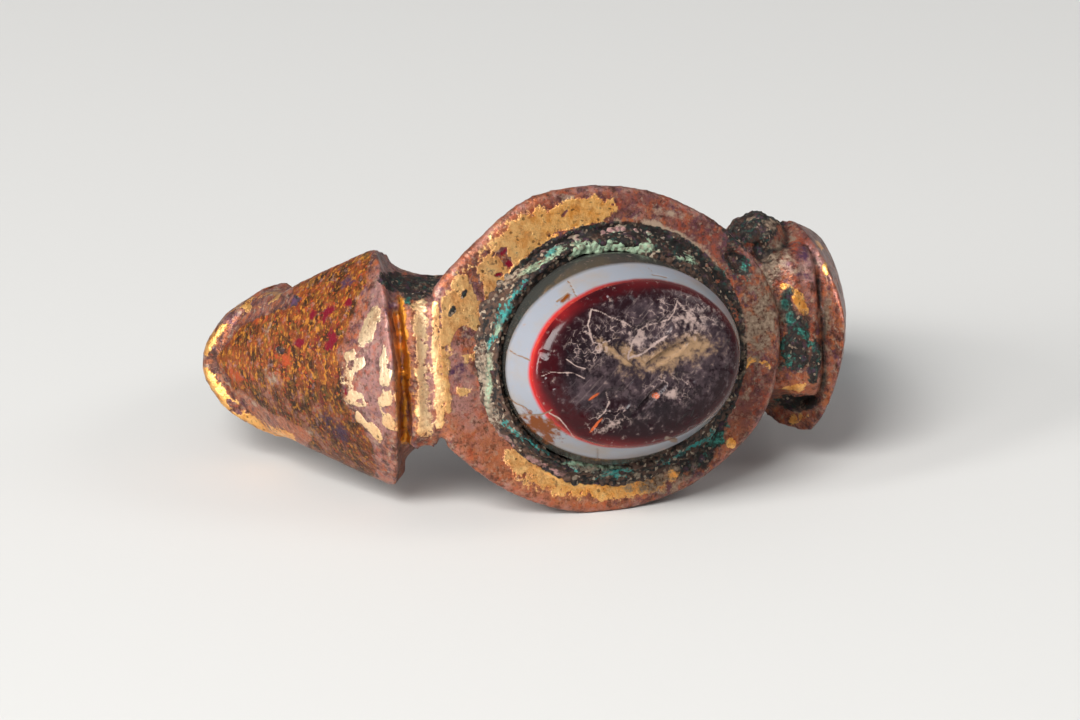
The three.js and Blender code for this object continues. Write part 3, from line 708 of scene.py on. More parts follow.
# The bronze ring: its frame solid in fine mesh, worn and pitted, with the gilding's islands.
# Sizes and places are in mm.
bronze = {
    "voxel": 0.138,
    "smoothing": 4,
    "swell": 0.045,
    "pitting": 0.035,
    "goldFilm": 0.02,
    "crustHeight": 0.16,
    "crustGrain": 0.26,
    "dentDepth": 0.34,
    # where a part starts to come in and where it is full: these along y, the way the hoop runs back
    "rimFace": (0.5, 0.2),
    "front": (9.5, 7.5),
    "leaf": (12, 11),
    "hoop": (10, 16),
    "hoopDarker": (8, 15),
    # these along x
    "rimLeftPart": (2, -3),
    "rimLitPart": (-2, -6),
    "corroded": (8.2, 9.4),
    # and this along z
    "leafLow": (0.2, -1.2),
    # parts with sharp ends
    "rimEnds": (-7.9, 7.2),
    "rimHalfHeight": 7.0,
    "beadBack": 13,
    # where the dark in the hollows is painted weaker, along x
    "neckLessDark": (-9.8, -6.6),
    "shoulderLessDark": 11.4,
    # the leaf's edge along the ridge, and how softly it passes over, in pixels
    "leafEdge": ((372, 255), (360, 300), (340, 350), (345, 400), (375, 450)),
    "leafEdgeSoft": (-5, 9),
    # the recess, and the gold and crust along it as shares of its half sizes
    "recessMiddle": (-0.33, -0.2),
    "recessHalf": (5.72, 5.2),
    "goldAlongRecess": (1.22, 1.1),
    "crustAlongRecess": (1.07, 1.0),
    # round the recess in degrees, anticlockwise from the right
    "goldKept": (95, 115, 285, 300),
    "goldHalfLost": (172, 182, 212, 222),
    # how far in or out the surface stands from its neighbourhood
    "wornAndLitEdge": (0.02, 0.07),
    "dirtyShadedHollow": (0.015, 0.09),
    # each layer's strength, and its spots
    "spots": {
        "gold": (1.1, {
            "rimTop": (575, 214, 1.5, 0.55, 14),
            "rimTopLeft": (521, 238, 1.4, 0.6, 48),
            "rimLeft": (491, 279, 1.5, 0.5, 62),
            "rimSpur": (460, 308, 1.5, 0.6, 72),
            "rimStrip": (479, 330, 0.75, 0.16, 85),
            "rimBottomLeft": (521, 461, 0.75, 0.36, -30),
            "rimBright": (590, 479, 1.0, 0.22, -4),
            "rimBottomRight": (676, 466, 0.6, 0.3, 65),
            "rimCorner": (731, 441, 0.2, 0.2, 0),
            "ridgeTop": (370, 326, 0.72, 0.26, 65),
            "ridgeUpper": (352, 355, 0.3, 0.2, 60),
            "ridgeInner": (361, 366, 0.3, 0.2, 60),
            "ridgeLower": (356, 398, 0.45, 0.3, -20),
            "ridgeUpright": (383, 360, 0.5, 0.1, 80),
            "ridgeDot": (385, 360, 0.14, 0.14, 0),
            "ridgeIslandTop": (386, 378, 0.4, 0.22, 80),
            "ridgeIslandMiddle": (387, 399, 0.42, 0.24, 70),
            "ridgeIslandFoot": (388, 420, 0.38, 0.18, -60),
            "ridgeStreak": (360, 421, 0.42, 0.13, -60),
            "ridgeStreakFoot": (374, 433, 0.45, 0.15, -55),
            "shoulderTop": (819, 245, 0.24, 0.1, -50),
            "shoulderEdge": (828, 268, 0.2, 0.09, -75),
            "shoulderMiddle": (785, 288, 0.2, 0.1, -20),
            "shoulderStreak": (800, 303, 0.55, 0.18, -55),
        }),
        "thinGold": (0.71, {
            "ridgeMiddle": (350, 376, 0.85, 0.42, 85),
            "rimMottled": (507, 243, 1.6, 0.8, 50),
            "rimLeftEdge": (483, 265, 1.5, 0.5, 60),
            "rimInner": (463, 391, 0.55, 0.28, 0),
            "rimBottom": (545, 482, 2.0, 0.55, -18),
            "rimBottomMiddle": (600, 491, 1.8, 0.5, -4),
            "rimBottomRight": (650, 485, 1.2, 0.45, 10),
            "shoulderLobe": (795, 418, 0.6, 0.3, 10),
            "shoulderFoot": (796, 386, 0.6, 0.3, 0),
            "neckTop": (405, 268, 1.0, 0.4, -20),
        }),
        "bare": (1, {
            "ridgeHole": (351, 366, 0.14, 0.09, 30),
            "ridgeHoleLow": (346, 388, 0.12, 0.1, 70),
            "ridgeHoleRight": (358, 383, 0.13, 0.08, 0),
            "ridgeHoleFoot": (360, 400, 0.14, 0.09, 40),
            "ridgeGap": (385, 390, 0.16, 0.07, 0),
            "ridgeGapFoot": (388, 411, 0.18, 0.08, 20),
            "beadUpper": (232, 316, 0.5, 0.12, 35),
            "beadTop": (262, 300, 0.4, 0.1, 20),
            "beadLower": (236, 407, 0.35, 0.08, -35),
            "stainTop": (503, 252, 0.22, 0.15, 60),
            "stainMiddle": (508, 262, 0.25, 0.16, -40),
            "stainLow": (497, 275, 0.15, 0.12, 0),
            "spurEdge": (477, 286, 0.6, 0.16, -75),
            "spurFoot": (466, 341, 0.45, 0.4, 0),
            "speckTop": (565, 213, 0.12, 0.08, 60),
        }),
        # cream islands on the ridge: a painted highlight
        "burnishAndHighlight": (1, {
            "ridge": (372, 365, 2.6, 1.3, 80),
        }),
        "crust": (1, {
            "neckTop": (392, 282, 0.55, 0.45, 0),
            "neckTopRight": (415, 287, 0.8, 0.5, 0),
            "neckTopEdge": (433, 282, 0.5, 0.35, 20),
            # two slots in the rim painted black: crust, and painted shade in place of their depth
            "rimSlotShade": (462.7, 294.5, 0.32, 0.12, 55),
            "rimSlotLowShade": (453.6, 312, 0.28, 0.14, 75),
            "rimPit": (737, 263, 0.78, 0.38, -48),
            "leafDark": (295, 302, 0.27, 0.12, 60),
            "leafDarkLow": (280, 350, 0.22, 0.15, 60),
            "lump": (755, 225, 1.4, 0.8, 20),
            "lumpLeft": (738, 232, 0.6, 0.4, 0),
            "lumpFoot": (763, 252, 0.9, 0.35, -60),
            "shoulderDarkTop": (787, 308, 0.7, 0.32, 85),
            "shoulderDark": (797, 342, 1.4, 0.62, 82),
            "shoulderDarkRight": (815, 362, 0.9, 0.25, 85),
            "rimCornerCrust": (697, 456, 1.15, 0.6, 38),
            "rimCornerUpper": (712, 435, 0.7, 0.3, 50),
            "shoulderCavity": (799, 402, 0.85, 0.32, -6),
        }),
        "soil": (0.85, {
            "neckRight": (762, 318, 1.9, 0.7, 80),
            "neckRightUpper": (775, 266, 1.2, 0.45, 70),
            "lump": (754, 220, 0.22, 0.1, 20),
            "lumpRight": (772, 226, 0.3, 0.15, -40),
            "rimBottom": (655, 480, 1.1, 0.5, 15),
            "shoulderRight": (826, 320, 1.0, 0.15, 85),
            "shoulderStreak": (822, 385, 0.5, 0.11, 88),
        }),
        "green": (0.66, {
            "neckTop": (406, 302, 0.22, 0.15, 0),
            "neckFoot": (441, 450, 0.14, 0.12, 0),
            "rimPitFoot": (738, 277, 0.5, 0.16, -24),
            "rimPitRight": (748, 267, 0.4, 0.14, -58),
            "rimCorner": (715, 437, 0.6, 0.45, 60),
            "lumpFoot": (757, 246, 0.35, 0.12, -60),
            "shoulderTop": (786, 303, 0.4, 0.2, 80),
            "shoulderUpper": (791, 320, 0.45, 0.2, -60),
            "shoulderLeft": (783, 342, 0.7, 0.13, 88),
            "shoulderFoot": (790, 367, 0.5, 0.4, 60),
            "shoulderRight": (811, 343, 0.55, 0.2, -75),
            "shoulderInner": (803, 330, 0.3, 0.14, -40),
            "shoulderNeck": (774, 403, 0.25, 0.18, 0),
        }),
        "purple": (0.68, {
            "rimPitLeft": (731, 256, 0.4, 0.2, -50),
            "leafBlue": (294, 303, 0.3, 0.14, 55),
            "shoulderUpper": (803, 252, 0.3, 0.3, 0),
            "rimMiddle": (457, 372, 0.5, 0.35, 80),
            "leafTop": (345, 282, 0.45, 0.25, 30),
            "leafFoot": (337, 431, 0.75, 0.35, -50),
            "leafLow": (273, 414, 0.35, 0.15, -40),
            "ridgeCorner": (391, 309, 0.3, 0.25, 0),
            "shoulder": (802, 276, 0.25, 0.2, 0),
            "rimLow": (452, 372, 0.4, 0.2, 60),
        }),
        "crimson": (1, {
            "deepest": (299, 342, 0.22, 0.17, 60),
            "upper": (326, 316, 0.3, 0.15, 60),
            "upperLeft": (312, 316, 0.2, 0.14, 60),
            "nearRidge": (330, 340, 0.28, 0.18, 70),
            "highest": (348, 302, 0.22, 0.15, 60),
            "topEdge": (330, 311, 0.2, 0.12, 60),
            "rimStain": (503, 254, 0.3, 0.12, 60),
            "rimStainLow": (509, 263, 0.22, 0.13, -40),
            "rimStainFoot": (497, 275, 0.14, 0.1, 0),
            "ridgeLow": (347, 392, 0.2, 0.12, 70),
        }),
        "beige": (0.62, {
            "leafStreak": (269, 331, 0.4, 0.1, 80),
            "leafLow": (315, 410, 0.3, 0.12, -45),
            "leafFoot": (312, 434, 0.45, 0.2, -45),
            "leafTip": (252, 401, 0.35, 0.15, -40),
            "leafPink": (271, 377, 0.5, 0.2, -40),
            "rimLedge": (706, 251, 0.8, 0.12, -36),
            "rimStreak": (708, 256, 0.9, 0.12, -30),
            "rimTop": (572, 198, 0.6, 0.2, 0),
            "rimTopRight": (670, 212, 1.2, 0.25, -14),
            "rimSpot": (748, 392, 0.4, 0.2, 70),
            "rimBottomRight": (655, 480, 1.0, 0.5, 15),
            "shoulderMiddle": (797, 268, 0.4, 0.2, 60),
        }),
        "rust": (0.6, {
            "shoulderInner": (798, 353, 0.35, 0.2, 60),
            "rimPit": (733, 257, 0.35, 0.2, -60),
            "rimInner": (735, 290, 0.9, 0.15, -65),
            "leafMiddle": (282, 357, 0.9, 0.5, -50),
            "leafTop": (259, 319, 0.4, 0.2, 20),
            "leafTip": (241, 378, 0.6, 0.25, -40),
            "shoulderTop": (793, 246, 0.45, 0.4, 60),
            "shoulderFoot": (796, 386, 0.7, 0.35, 0),
            "recessRight": (738, 300, 0.5, 0.15, -70),
        }),
        "maroon": (1, {
            "rimRight": (752, 395, 1.4, 0.8, 70),
            "rimTop": (610, 204, 3.0, 0.4, 3),
            "rimTopRight": (705, 235, 2.2, 0.6, -30),
            "shoulderTop": (795, 250, 0.9, 0.6, 60),
        }),
        "warm": (1, {
            "rimLeft": (450, 400, 2.4, 1.0, -60),
            "rimLowLeft": (490, 450, 2.4, 0.9, -40),
            "rimBottom": (560, 495, 3.0, 0.7, -10),
            "rimTopLeft": (505, 225, 2.0, 0.5, 40),
            "leafFoot": (300, 425, 2.4, 0.7, -35),
            "rimRight": (735, 430, 1.4, 0.4, 60),
            "leafMiddle": (290, 350, 1.8, 0.9, 0),
            "groove": (403, 370, 3.2, 0.35, 88),
            "shoulder": (800, 385, 1.0, 0.5, 0),
        }),
        # pale mauve blush, and on the ridge a painted highlight where it faces the light
        "blushAndHighlight": (1, {
            "ridgeTop": (383, 290, 1.6, 0.5, 75),
            "ridge": (377, 370, 3.0, 0.9, 88),
            "ribs": (430, 360, 2.6, 0.4, 88),
            "rimLeft": (456, 382, 1.9, 0.7, -70),
            "leafFoot": (350, 430, 1.5, 0.4, -50),
            "shoulder": (812, 262, 1.0, 0.5, 70),
        }),
        "leafPink": (0.46, {
            "foot": (322, 430, 2.4, 0.5, -42),
            "middle": (262, 392, 1.4, 0.35, -40),
            "inner": (300, 395, 1.2, 0.3, -40),
        }),
        "dent": (1, {
            "rimPit": (737, 263, 0.7, 0.34, -48),
            "shoulderCavity": (799, 400, 0.7, 0.2, 0),
            "lumpFoot": (762, 252, 0.6, 0.3, -60),
        }),
    },
    # each layer's strength, and its strokes
    "strokes": {
        "gold": (1, {
            "squiggle": (0.09, (740, 361), (744, 366), (750, 360), (758, 361), (765, 362), (771, 368)),
            "rib": (0.13, (436, 305), (437, 360), (440, 425)),
        }),
        "thinGold": (0.68, {
            "rib": (0.5, (421, 308), (422, 365), (425, 432)),
            "rimEdge": (0.3, (446, 300), (444, 360), (447, 410)),
            "flank": (0.14, (395, 312), (397, 360), (398, 430)),
        }),
        # a cream band along the rib: burnish and a painted highlight
        "burnishAndHighlight": (0.6, {
            "rib": (0.42, (424, 305), (426, 360), (429, 425)),
        }),
        # the neck's groove, where the gold is painted darker amber as painted shade
        "groove": (1, {
            "groove": (0.26, (401, 300), (404, 360), (407, 440)),
        }),
        "bead": (0.7, {
            "upper": (0.27, (206, 352), (214, 337), (230, 316), (251, 303), (276, 294)),
            "lower": (0.34, (206, 372), (221, 397), (244, 414), (263, 428), (290, 438)),
        }),
        "beadZone": (1, {
            "upper": (0.5, (204, 356), (216, 335), (234, 317), (254, 305), (282, 296)),
            "lower": (0.6, (204, 366), (221, 395), (244, 411), (263, 424), (296, 438)),
        }),
        "beige": (0.9, {
            "ledge": (0.22, (648, 224), (668, 233), (688, 246), (704, 262)),
            "ledgeFoot": (0.1, (704, 262), (716, 276)),
        }),
    },
}


def fineMesh(data, voxel, smoothing):
    holder = bpy.data.objects.new("fineMesh", data)
    bpy.context.scene.collection.objects.link(holder)
    grid = holder.modifiers.new("grid", "REMESH")
    grid.mode = "VOXEL"
    grid.voxel_size = voxel
    relax = holder.modifiers.new("relax", "SMOOTH")
    relax.factor = 0.6
    relax.iterations = smoothing
    seen = holder.evaluated_get(bpy.context.evaluated_depsgraph_get())
    made = bpy.data.meshes.new_from_object(seen)
    bpy.data.objects.remove(holder)
    return made


def bronzeRing():
    solid = ringMesh("ring_body")
    tree = treeOf(solid)
    data = fineMesh(solid, bronze["voxel"], bronze["smoothing"])
    points, normals = pointsOf(data), normalsOf(data)
    surface = surfaceOf(points, normals, 5.0)
    spots, strokes = paintOf(bronze, surface, tree)
    gold, thinGold, bare, dent = (spots.pop(name) for name in ("gold", "thinGold", "bare", "dent"))
    x, y, z = points.T

    # the rim face, the leaf's granular side, the parts round the bead and ribs, and the hoop behind
    left, right = bronze["rimEnds"]
    onRim = (np.abs(z) < bronze["rimHalfHeight"]) * (x > left) * (x < right)
    onRim = onRim * smoothStep(y, *bronze["rimFace"])
    across, down = surface["picture"].T
    edgeAcross, edgeDown = zip(*bronze["leafEdge"])
    onLeaf = smoothStep(np.interp(down, edgeDown, edgeAcross) - across, *bronze["leafEdgeSoft"])
    onLeaf *= smoothStep(y, *bronze["leaf"]) * (1 - smoothStep(strokes["beadZone"], 0.4, 0.6))
    lowLeaf = onLeaf * smoothStep(z, *bronze["leafLow"])
    front = smoothStep(y, *bronze["front"])
    hoop = smoothStep(y + 2.5 * rough(points, 2.2, 23), *bronze["hoop"])
    hollow = hollowness(data, points, normals, 10)
    aside = (points[:, [0, 2]] - bronze["recessMiddle"]).T
    recess = np.hypot(aside[0] / bronze["recessHalf"][0], aside[1] / bronze["recessHalf"][1])
    turn = np.degrees(np.arctan2(aside[1], aside[0])) % 360

    # the gilding holds best beside the recess, from its top round the left to its lower right
    kept = onRim * plateau(turn, bronze["goldKept"]) * (1 - 0.5 * plateau(turn, bronze["goldHalfLost"]))
    gild = 0.2 + 0.1 * onRim * smoothStep(x, *bronze["rimLeftPart"]) + 0.06 * onLeaf
    for cover in (
        gold,
        thinGold,
        strokes["gold"] * front,
        strokes["thinGold"] * front,
        0.66 * strokes["groove"] * front,
        strokes["bead"] * (y < bronze["beadBack"]),
        0.6 * kept * smoothStep(recess, *bronze["goldAlongRecess"]),
    ):
        gild = np.maximum(gild, cover)
    gild -= smoothStep(bare, 0.3, 0.6)

    layers = {
        **spots,
        "gild": gild,
        "olive": np.clip(onLeaf, 0, 1),
        "groove": np.clip(1.4 * strokes["groove"], 0, 1) * front,
        # darker towards the back of the hoop
        "grimeAndShade": 0.45 * smoothStep(y, *bronze["hoopDarker"]),
    }
    worn = smoothStep(-hollow, *bronze["wornAndLitEdge"]) * (0.36 + 0.25 * rough(points, 0.8, 31))
    # dirt and painted shade darken the hollows, less at the neck and past the shoulder's edge
    neckStart, neckEnd = bronze["neckLessDark"]
    dirtAndShade = 0.8 - 0.6 * (x > neckStart) * (x < neckEnd) - 0.45 * (x > bronze["shoulderLessDark"])
    for layer, cover in (
        ("rust", 0.2 * onLeaf * (1 - lowLeaf)),
        ("beige", strokes["beige"] * front),
        ("crust", 0.7 * onRim * smoothStep(recess, *bronze["crustAlongRecess"])),
        ("crust", 0.56 * hoop),  # behind the shoulders the hoop is plainer and blacker, in patches
        ("blushAndHighlight", worn),  # worn edges are lighter, partly a painted highlight along them
        ("burnishAndHighlight", strokes["burnishAndHighlight"]),
        # the rim's gold painted lighter towards the left: a painted highlight where the light falls
        ("burnishAndHighlight", 0.14 * onRim * smoothStep(x, *bronze["rimLitPart"])),
        ("grimeAndShade", dirtAndShade * smoothStep(hollow, *bronze["dirtyShadedHollow"])),
        # painted shade on the leaf's lower part
        ("grimeAndShade", 0.38 * lowLeaf),
    ):
        layers[layer] = np.maximum(layers[layer], cover)

    grain, _ = grains(points, bronze["crustGrain"], 5)
    crusted = smoothStep(layers["crust"], 0.35, 0.65) * front
    corroded = smoothStep(x, *bronze["corroded"]) * front
    lift = bronze["swell"] * rough(points, 1.6, 1)
    lift -= bronze["pitting"] * (1 + 1.6 * corroded) * np.abs(rough(points, 0.4, 7))
    lift += bronze["goldFilm"] * smoothStep(gild, 0.4, 0.6)
    lift += bronze["crustHeight"] * crusted * (grain - 0.5 + 0.9 * rough(points, 0.7, 17))
    lift -= bronze["dentDepth"] * smoothStep(dent, 0.4, 0.75)
    points = points + normals * lift[:, None]
    piece = placePiece("bronzeRing", data, points, layers, bronzeMaterial)
    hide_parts("ring_body")
    print("bronze ring:", len(data.polygons), "faces")


# The crust in the setting, between the ragged edge of the recess and the stone
crust = {
    "recessHalf": (5.86, 5.32),
    "raggedness": 0.22,
    # the recess is wider at its upper left, by so many mm, at a turn in degrees and so softly
    "wider": 0.45,
    "widerTurn": 138,
    "widerSpread": 0.42,
    "stoneMiddle": (-0.69, -0.3),
    "stoneHalf": (4.86, 4.3),
    # how high the crust stands at its crest, at the right and at the left
    "low": 0.45,
    "high": 1.25,
    # its section from the recess's edge to the stone, where it fills the gap and where a slit stays
    # open under the rim: each stop is a share of the way across and a height, which is a share of the
    # crest's above the rim face and mm below it
    "filled": ((0, -0.1), (0.12, 0.06), (0.4, 0.3), (0.7, 1), (1, 0.8)),
    "slit": ((0, -0.32), (0.12, -0.26), (0.45, -0.08), (0.7, 1), (1, 0.85)),
    "slitTurn": 62,
    "slitSoft": (-0.1, 0.5),
    "steps": 760,
    "rows": 36,
    # its hidden underside
    "floorDepth": 0.9,
    "floorRows": 8,
    "grain": 0.24,
    "grainHeight": 0.13,
    "swell": 0.1,
    "spots": {
        "purple": (1, {
            "slitTop": (600, 234, 2.3, 0.26, 3),
            "slitLeft": (555, 241, 0.9, 0.25, 22),
            "slitRight": (660, 240, 0.9, 0.2, -15),
            "lowLeft": (500, 440, 0.9, 0.3, -45),
            "bottom": (545, 466, 0.9, 0.2, -25),
        }),
        "turquoise": (0.8, {
            "leftTop": (522, 293, 0.5, 0.2, 45),
            "left": (502, 317, 0.7, 0.26, 60),
            "leftLow": (489, 345, 0.4, 0.1, 80),
            "topLeft": (553, 252, 0.35, 0.12, 20),
            "lowLeft": (505, 423, 0.2, 0.1, 0),
            "bottomLeft": (536, 445, 0.35, 0.1, -35),
            "bottom": (612, 473, 0.65, 0.22, 0),
            "bottomMiddle": (570, 470, 0.35, 0.12, -15),
            "bottomRight": (660, 463, 0.4, 0.12, 15),
            "cornerRight": (715, 437, 0.4, 0.3, 45),
        }),
        "paleGreen": (1, {
            "topLeft": (545, 262, 1.2, 0.15, 28),
            "leftLow": (488, 385, 1.2, 0.16, 88),
            "bottom": (590, 466, 1.2, 0.12, -4),
            "top": (612, 246, 2.0, 0.42, 6),
            "topMiddle": (588, 247, 1.0, 0.34, 10),
            "topRight": (646, 241, 0.6, 0.35, 0),
            "right": (683, 256, 0.6, 0.15, -30),
            "left": (497, 330, 0.3, 0.12, 70),
        }),
        "beige": (0.8, {
            "ledge": (680, 238, 1.6, 0.14, -24),
            "topSlit": (575, 236, 0.9, 0.14, 12),
            "left": (482, 375, 1.2, 0.4, 88),
            "lowLeft": (490, 410, 0.9, 0.3, -70),
            "topLeft": (512, 268, 0.9, 0.45, 50),
            "bottom": (590, 470, 0.9, 0.15, -5),
        }),
        "rust": (0.8, {
            "right": (722, 278, 1.3, 0.3, -52),
            "rightLow": (738, 305, 0.8, 0.25, -75),
            "top": (625, 218, 0.9, 0.2, 4),
        }),
    },
    "strokes": {
        "turquoise": (0.66, {
            "left": (0.14, (527, 284), (512, 300), (500, 320), (493, 342)),
            "lowLeft": (0.1, (503, 421), (518, 437), (549, 453)),
            "bottom": (0.12, (566, 463), (600, 472), (634, 470)),
            "bottomRight": (0.12, (676, 456), (700, 442), (722, 432)),
        }),
        "beige": (0.9, {
            "ledge": (0.17, (648, 226), (668, 234), (688, 247), (706, 261), (716, 272)),
            "slit": (0.08, (560, 236), (584, 229), (610, 226), (632, 227)),
        }),
    },
}


def onEllipse(angle, middle, half):
    return np.stack([middle[0] + half[0] * np.cos(angle), middle[1] + half[1] * np.sin(angle)], axis=-1)


# A mesh of quads between rings of points. A closed one joins its last ring to its first, and
# any other has both its ends filled in.
def ringedMesh(name, rings, closed):
    rows, steps = len(rings), len(rings[0])
    row, step = np.meshgrid(np.arange(rows if closed else rows - 1), np.arange(steps), indexing="ij")
    here, above = row * steps, (row + 1) % rows * steps
    nextStep = (step + 1) % steps
    corners = [here + step, here + nextStep, above + nextStep, above + step]
    faces = np.stack(corners, axis=-1).reshape(-1, 4).tolist()
    if not closed:
        faces.append(list(range(steps))[::-1])
        faces.append(list(range((rows - 1) * steps, rows * steps)))
    data = bpy.data.meshes.new(name)
    data.from_pydata(np.concatenate(rings).tolist(), [], faces)
    data.update()
    return data


def settingCrust():
    tree = treeOf(ringMesh("ring_body"))
    angle = np.linspace(0, 2 * math.pi, crust["steps"], endpoint=False)
    rim = onEllipse(angle, bronze["recessMiddle"], crust["recessHalf"])
    edge = np.stack([rim[:, 0], rim[:, 0] * 0, rim[:, 1]], axis=1)
    away = (angle - math.radians(crust["widerTurn"])) / crust["widerSpread"]
    wider = crust["wider"] * np.exp(-away**2) + crust["raggedness"] * rough(edge, 0.9, 61)
    rim += rim / np.linalg.norm(rim, axis=1)[:, None] * wider[:, None]
    wall = onEllipse(angle, crust["stoneMiddle"], crust["stoneHalf"])
    crest = crust["low"] + (crust["high"] - crust["low"]) * np.clip(-np.cos(angle), 0, 1) ** 1.5
    slit = smoothStep(np.cos(angle - math.radians(crust["slitTurn"])), *crust["slitSoft"])
    rings = []
    for share in np.linspace(0, 1, crust["rows"]):
        filled, hollowed = (np.interp(share, *zip(*crust[section])) for section in ("filled", "slit"))
        rise = filled + (hollowed - filled) * slit
        flat = rim + (wall - rim) * share
        level = np.where(rise > 0, rise * crest, rise)
        rings.append(np.stack([flat[:, 0], -level, flat[:, 1]], axis=1))
    for share in np.linspace(1, 0, crust["floorRows"]):
        flat = rim + (wall - rim) * share
        rings.append(np.stack([flat[:, 0], np.full(len(angle), crust["floorDepth"]), flat[:, 1]], axis=1))
    data = ringedMesh("settingCrust", rings, closed=True)
    points, normals = np.concatenate(rings), normalsOf(data)
    shown = np.repeat([1.0] * crust["rows"] + [0.0] * crust["floorRows"], crust["steps"])
    grain, number = grains(points, crust["grain"], 21)
    lift = crust["grainHeight"] * (grain * (0.6 + 0.8 * number) - 0.4)
    lift += crust["swell"] * rough(points, 0.9, 31)
    points = points + normals * (lift * shown)[:, None]
    surface = surfaceOf(points, normals, 4.0)
    layers, strokes = paintOf(crust, surface, tree)
    for layer, cover in strokes.items():
        layers[layer] = np.maximum(layers[layer], cover)
    placePiece("settingCrust", data, points, layers, crustMaterial)
    print("setting crust:", len(data.polygons), "faces")


# The agate: its layered outline from the frame, with a worn and carved top
agate = {
    "middle": (-0.69, -0.3),
    "half": (5.04, 3.91),
    "baseHalf": (4.8, 4.25),
    "footInset": 0.5,
    "depth": 1.05,
    "girdle": 2.03,
    "shoulder": 3.24,
    "shoulderInset": 0.6,
    "top": 4.15,
    "domeInset": 2.6,
    "steps": 420,
    "waistRows": 14,
    "shoulderRows": 22,
    "domeRows": 62,
    "middleRows": 34,
    # the top layer is worn thin only so far above the shoulder
    "thinRise": 0.2,
    "hollowDepth": 0.16,
    "wearDepth": 0.03,
    "pitDepth": 0.05,
    "pitSize": 0.35,
    "crackDepth": 0.05,
    "unevenness": 0.01,
    # the worn carving: each hollow's place from the stone's middle, its half sizes and its turn
    "hollows": {
        "upper": (0.55, 1.35, 0.85, 0.45, 8),
        "left": (-0.45, 0.35, 0.95, 0.2, -42),
        "right": (0.95, 0.25, 1.15, 0.24, 24),
        "lowLeft": (-1.3, -1.25, 0.7, 0.5, -12),
        "low": (0.3, -1.3, 0.9, 0.16, 35),
        "lowRight": (1.75, -0.75, 0.5, 0.3, -20),
    },
    "spots": {
        "worn": (1, {
            "middle": (662, 352, 2.9, 2.1, 10),
            "upper": (647, 312, 1.0, 0.55, 10),
            "left": (592, 392, 1.0, 0.7, 0),
            "right": (705, 340, 1.2, 1.6, 0),
        }),
        "thin": (1, {
            "left": (549, 362, 1.9, 0.4, 85),
            "lowLeft": (575, 418, 1.6, 0.5, -52),
            "top": (600, 293, 1.6, 0.3, 20),
        }),
        "ochre": (0.78, {
            "wingRight": (672, 356, 1.6, 0.5, 15),
            "wingMiddle": (630, 352, 0.7, 0.25, -40),
            "wingLeft": (612, 350, 0.7, 0.25, -35),
            "wingTip": (629, 361, 0.35, 0.22, 0),
            "right": (695, 345, 0.7, 0.5, 0),
        }),
        "net": (1, {
            "right": (686, 315, 1.5, 1.0, 0),
            "middle": (632, 335, 1.5, 0.8, 0),
            "lowRight": (672, 388, 1.0, 0.6, 0),
            "foot": (608, 420, 0.9, 0.5, 10),
            "left": (590, 345, 0.9, 0.9, 0),
        }),
        "pink": (0.62, {
            "net": (690, 322, 0.8, 0.45, 10),
            "middle": (640, 340, 0.5, 0.35, 0),
            "dots": (672, 393, 0.25, 0.2, 0),
            "foot": (612, 425, 0.5, 0.15, 20),
        }),
        "orange": (1, {
            "dot": (657, 396, 0.12, 0.1, 0),
            "foot": (596, 424, 0.35, 0.06, 50),
            "streak": (594, 397, 0.25, 0.06, 40),
        }),
        "amber": (1, {
            "corner": (541, 425, 0.75, 0.36, -22),
            "foot": (547, 438, 0.3, 0.2, -40),
            "upper": (565, 298, 0.25, 0.1, 40),
        }),
    },
    "strokes": {
        "net": (1, {
            "netTop": (
                0.025, (590, 309), (601, 312), (611, 318), (622, 321), (640, 330), (652, 325), (667, 321),
            ),
            "netLeft": (0.025, (592, 309), (590, 318), (588, 325), (593, 342), (600, 345), (611, 340)),
            "netMiddle": (
                0.035, (640, 330), (636, 338), (632, 345), (631, 360), (642, 355), (653, 346), (668, 336),
            ),
            "netRight": (0.025, (668, 321), (674, 310), (678, 300), (686, 310), (694, 318), (706, 316)),
            "scratchLeft": (0.02, (541, 377), (552, 373), (573, 374), (585, 379)),
            "scratchUpper": (0.02, (566, 360), (575, 366), (586, 369)),
            "scratchLow": (0.02, (548, 412), (560, 418), (570, 432), (577, 441)),
            "curl": (0.025, (608, 392), (611, 402), (604, 412), (598, 417)),
        }),
        "crack": (1, {
            "top": (0.025, (568, 281), (574, 289), (577, 296)),
            "topMark": (0.03, (556, 301), (562, 297), (568, 293)),
            "topRight": (0.02, (649, 267), (652, 275), (666, 277)),
            "left": (0.03, (509, 350), (517, 355), (530, 361)),
            "lowLeft": (0.025, (505, 395), (517, 405), (533, 412)),
            "amberEdge": (0.03, (510, 417), (540, 415), (552, 410)),
            "bottom": (0.025, (598, 449), (597, 459)),
            "notch": (0.09, (667, 439), (676, 441)),
        }),
    },
}


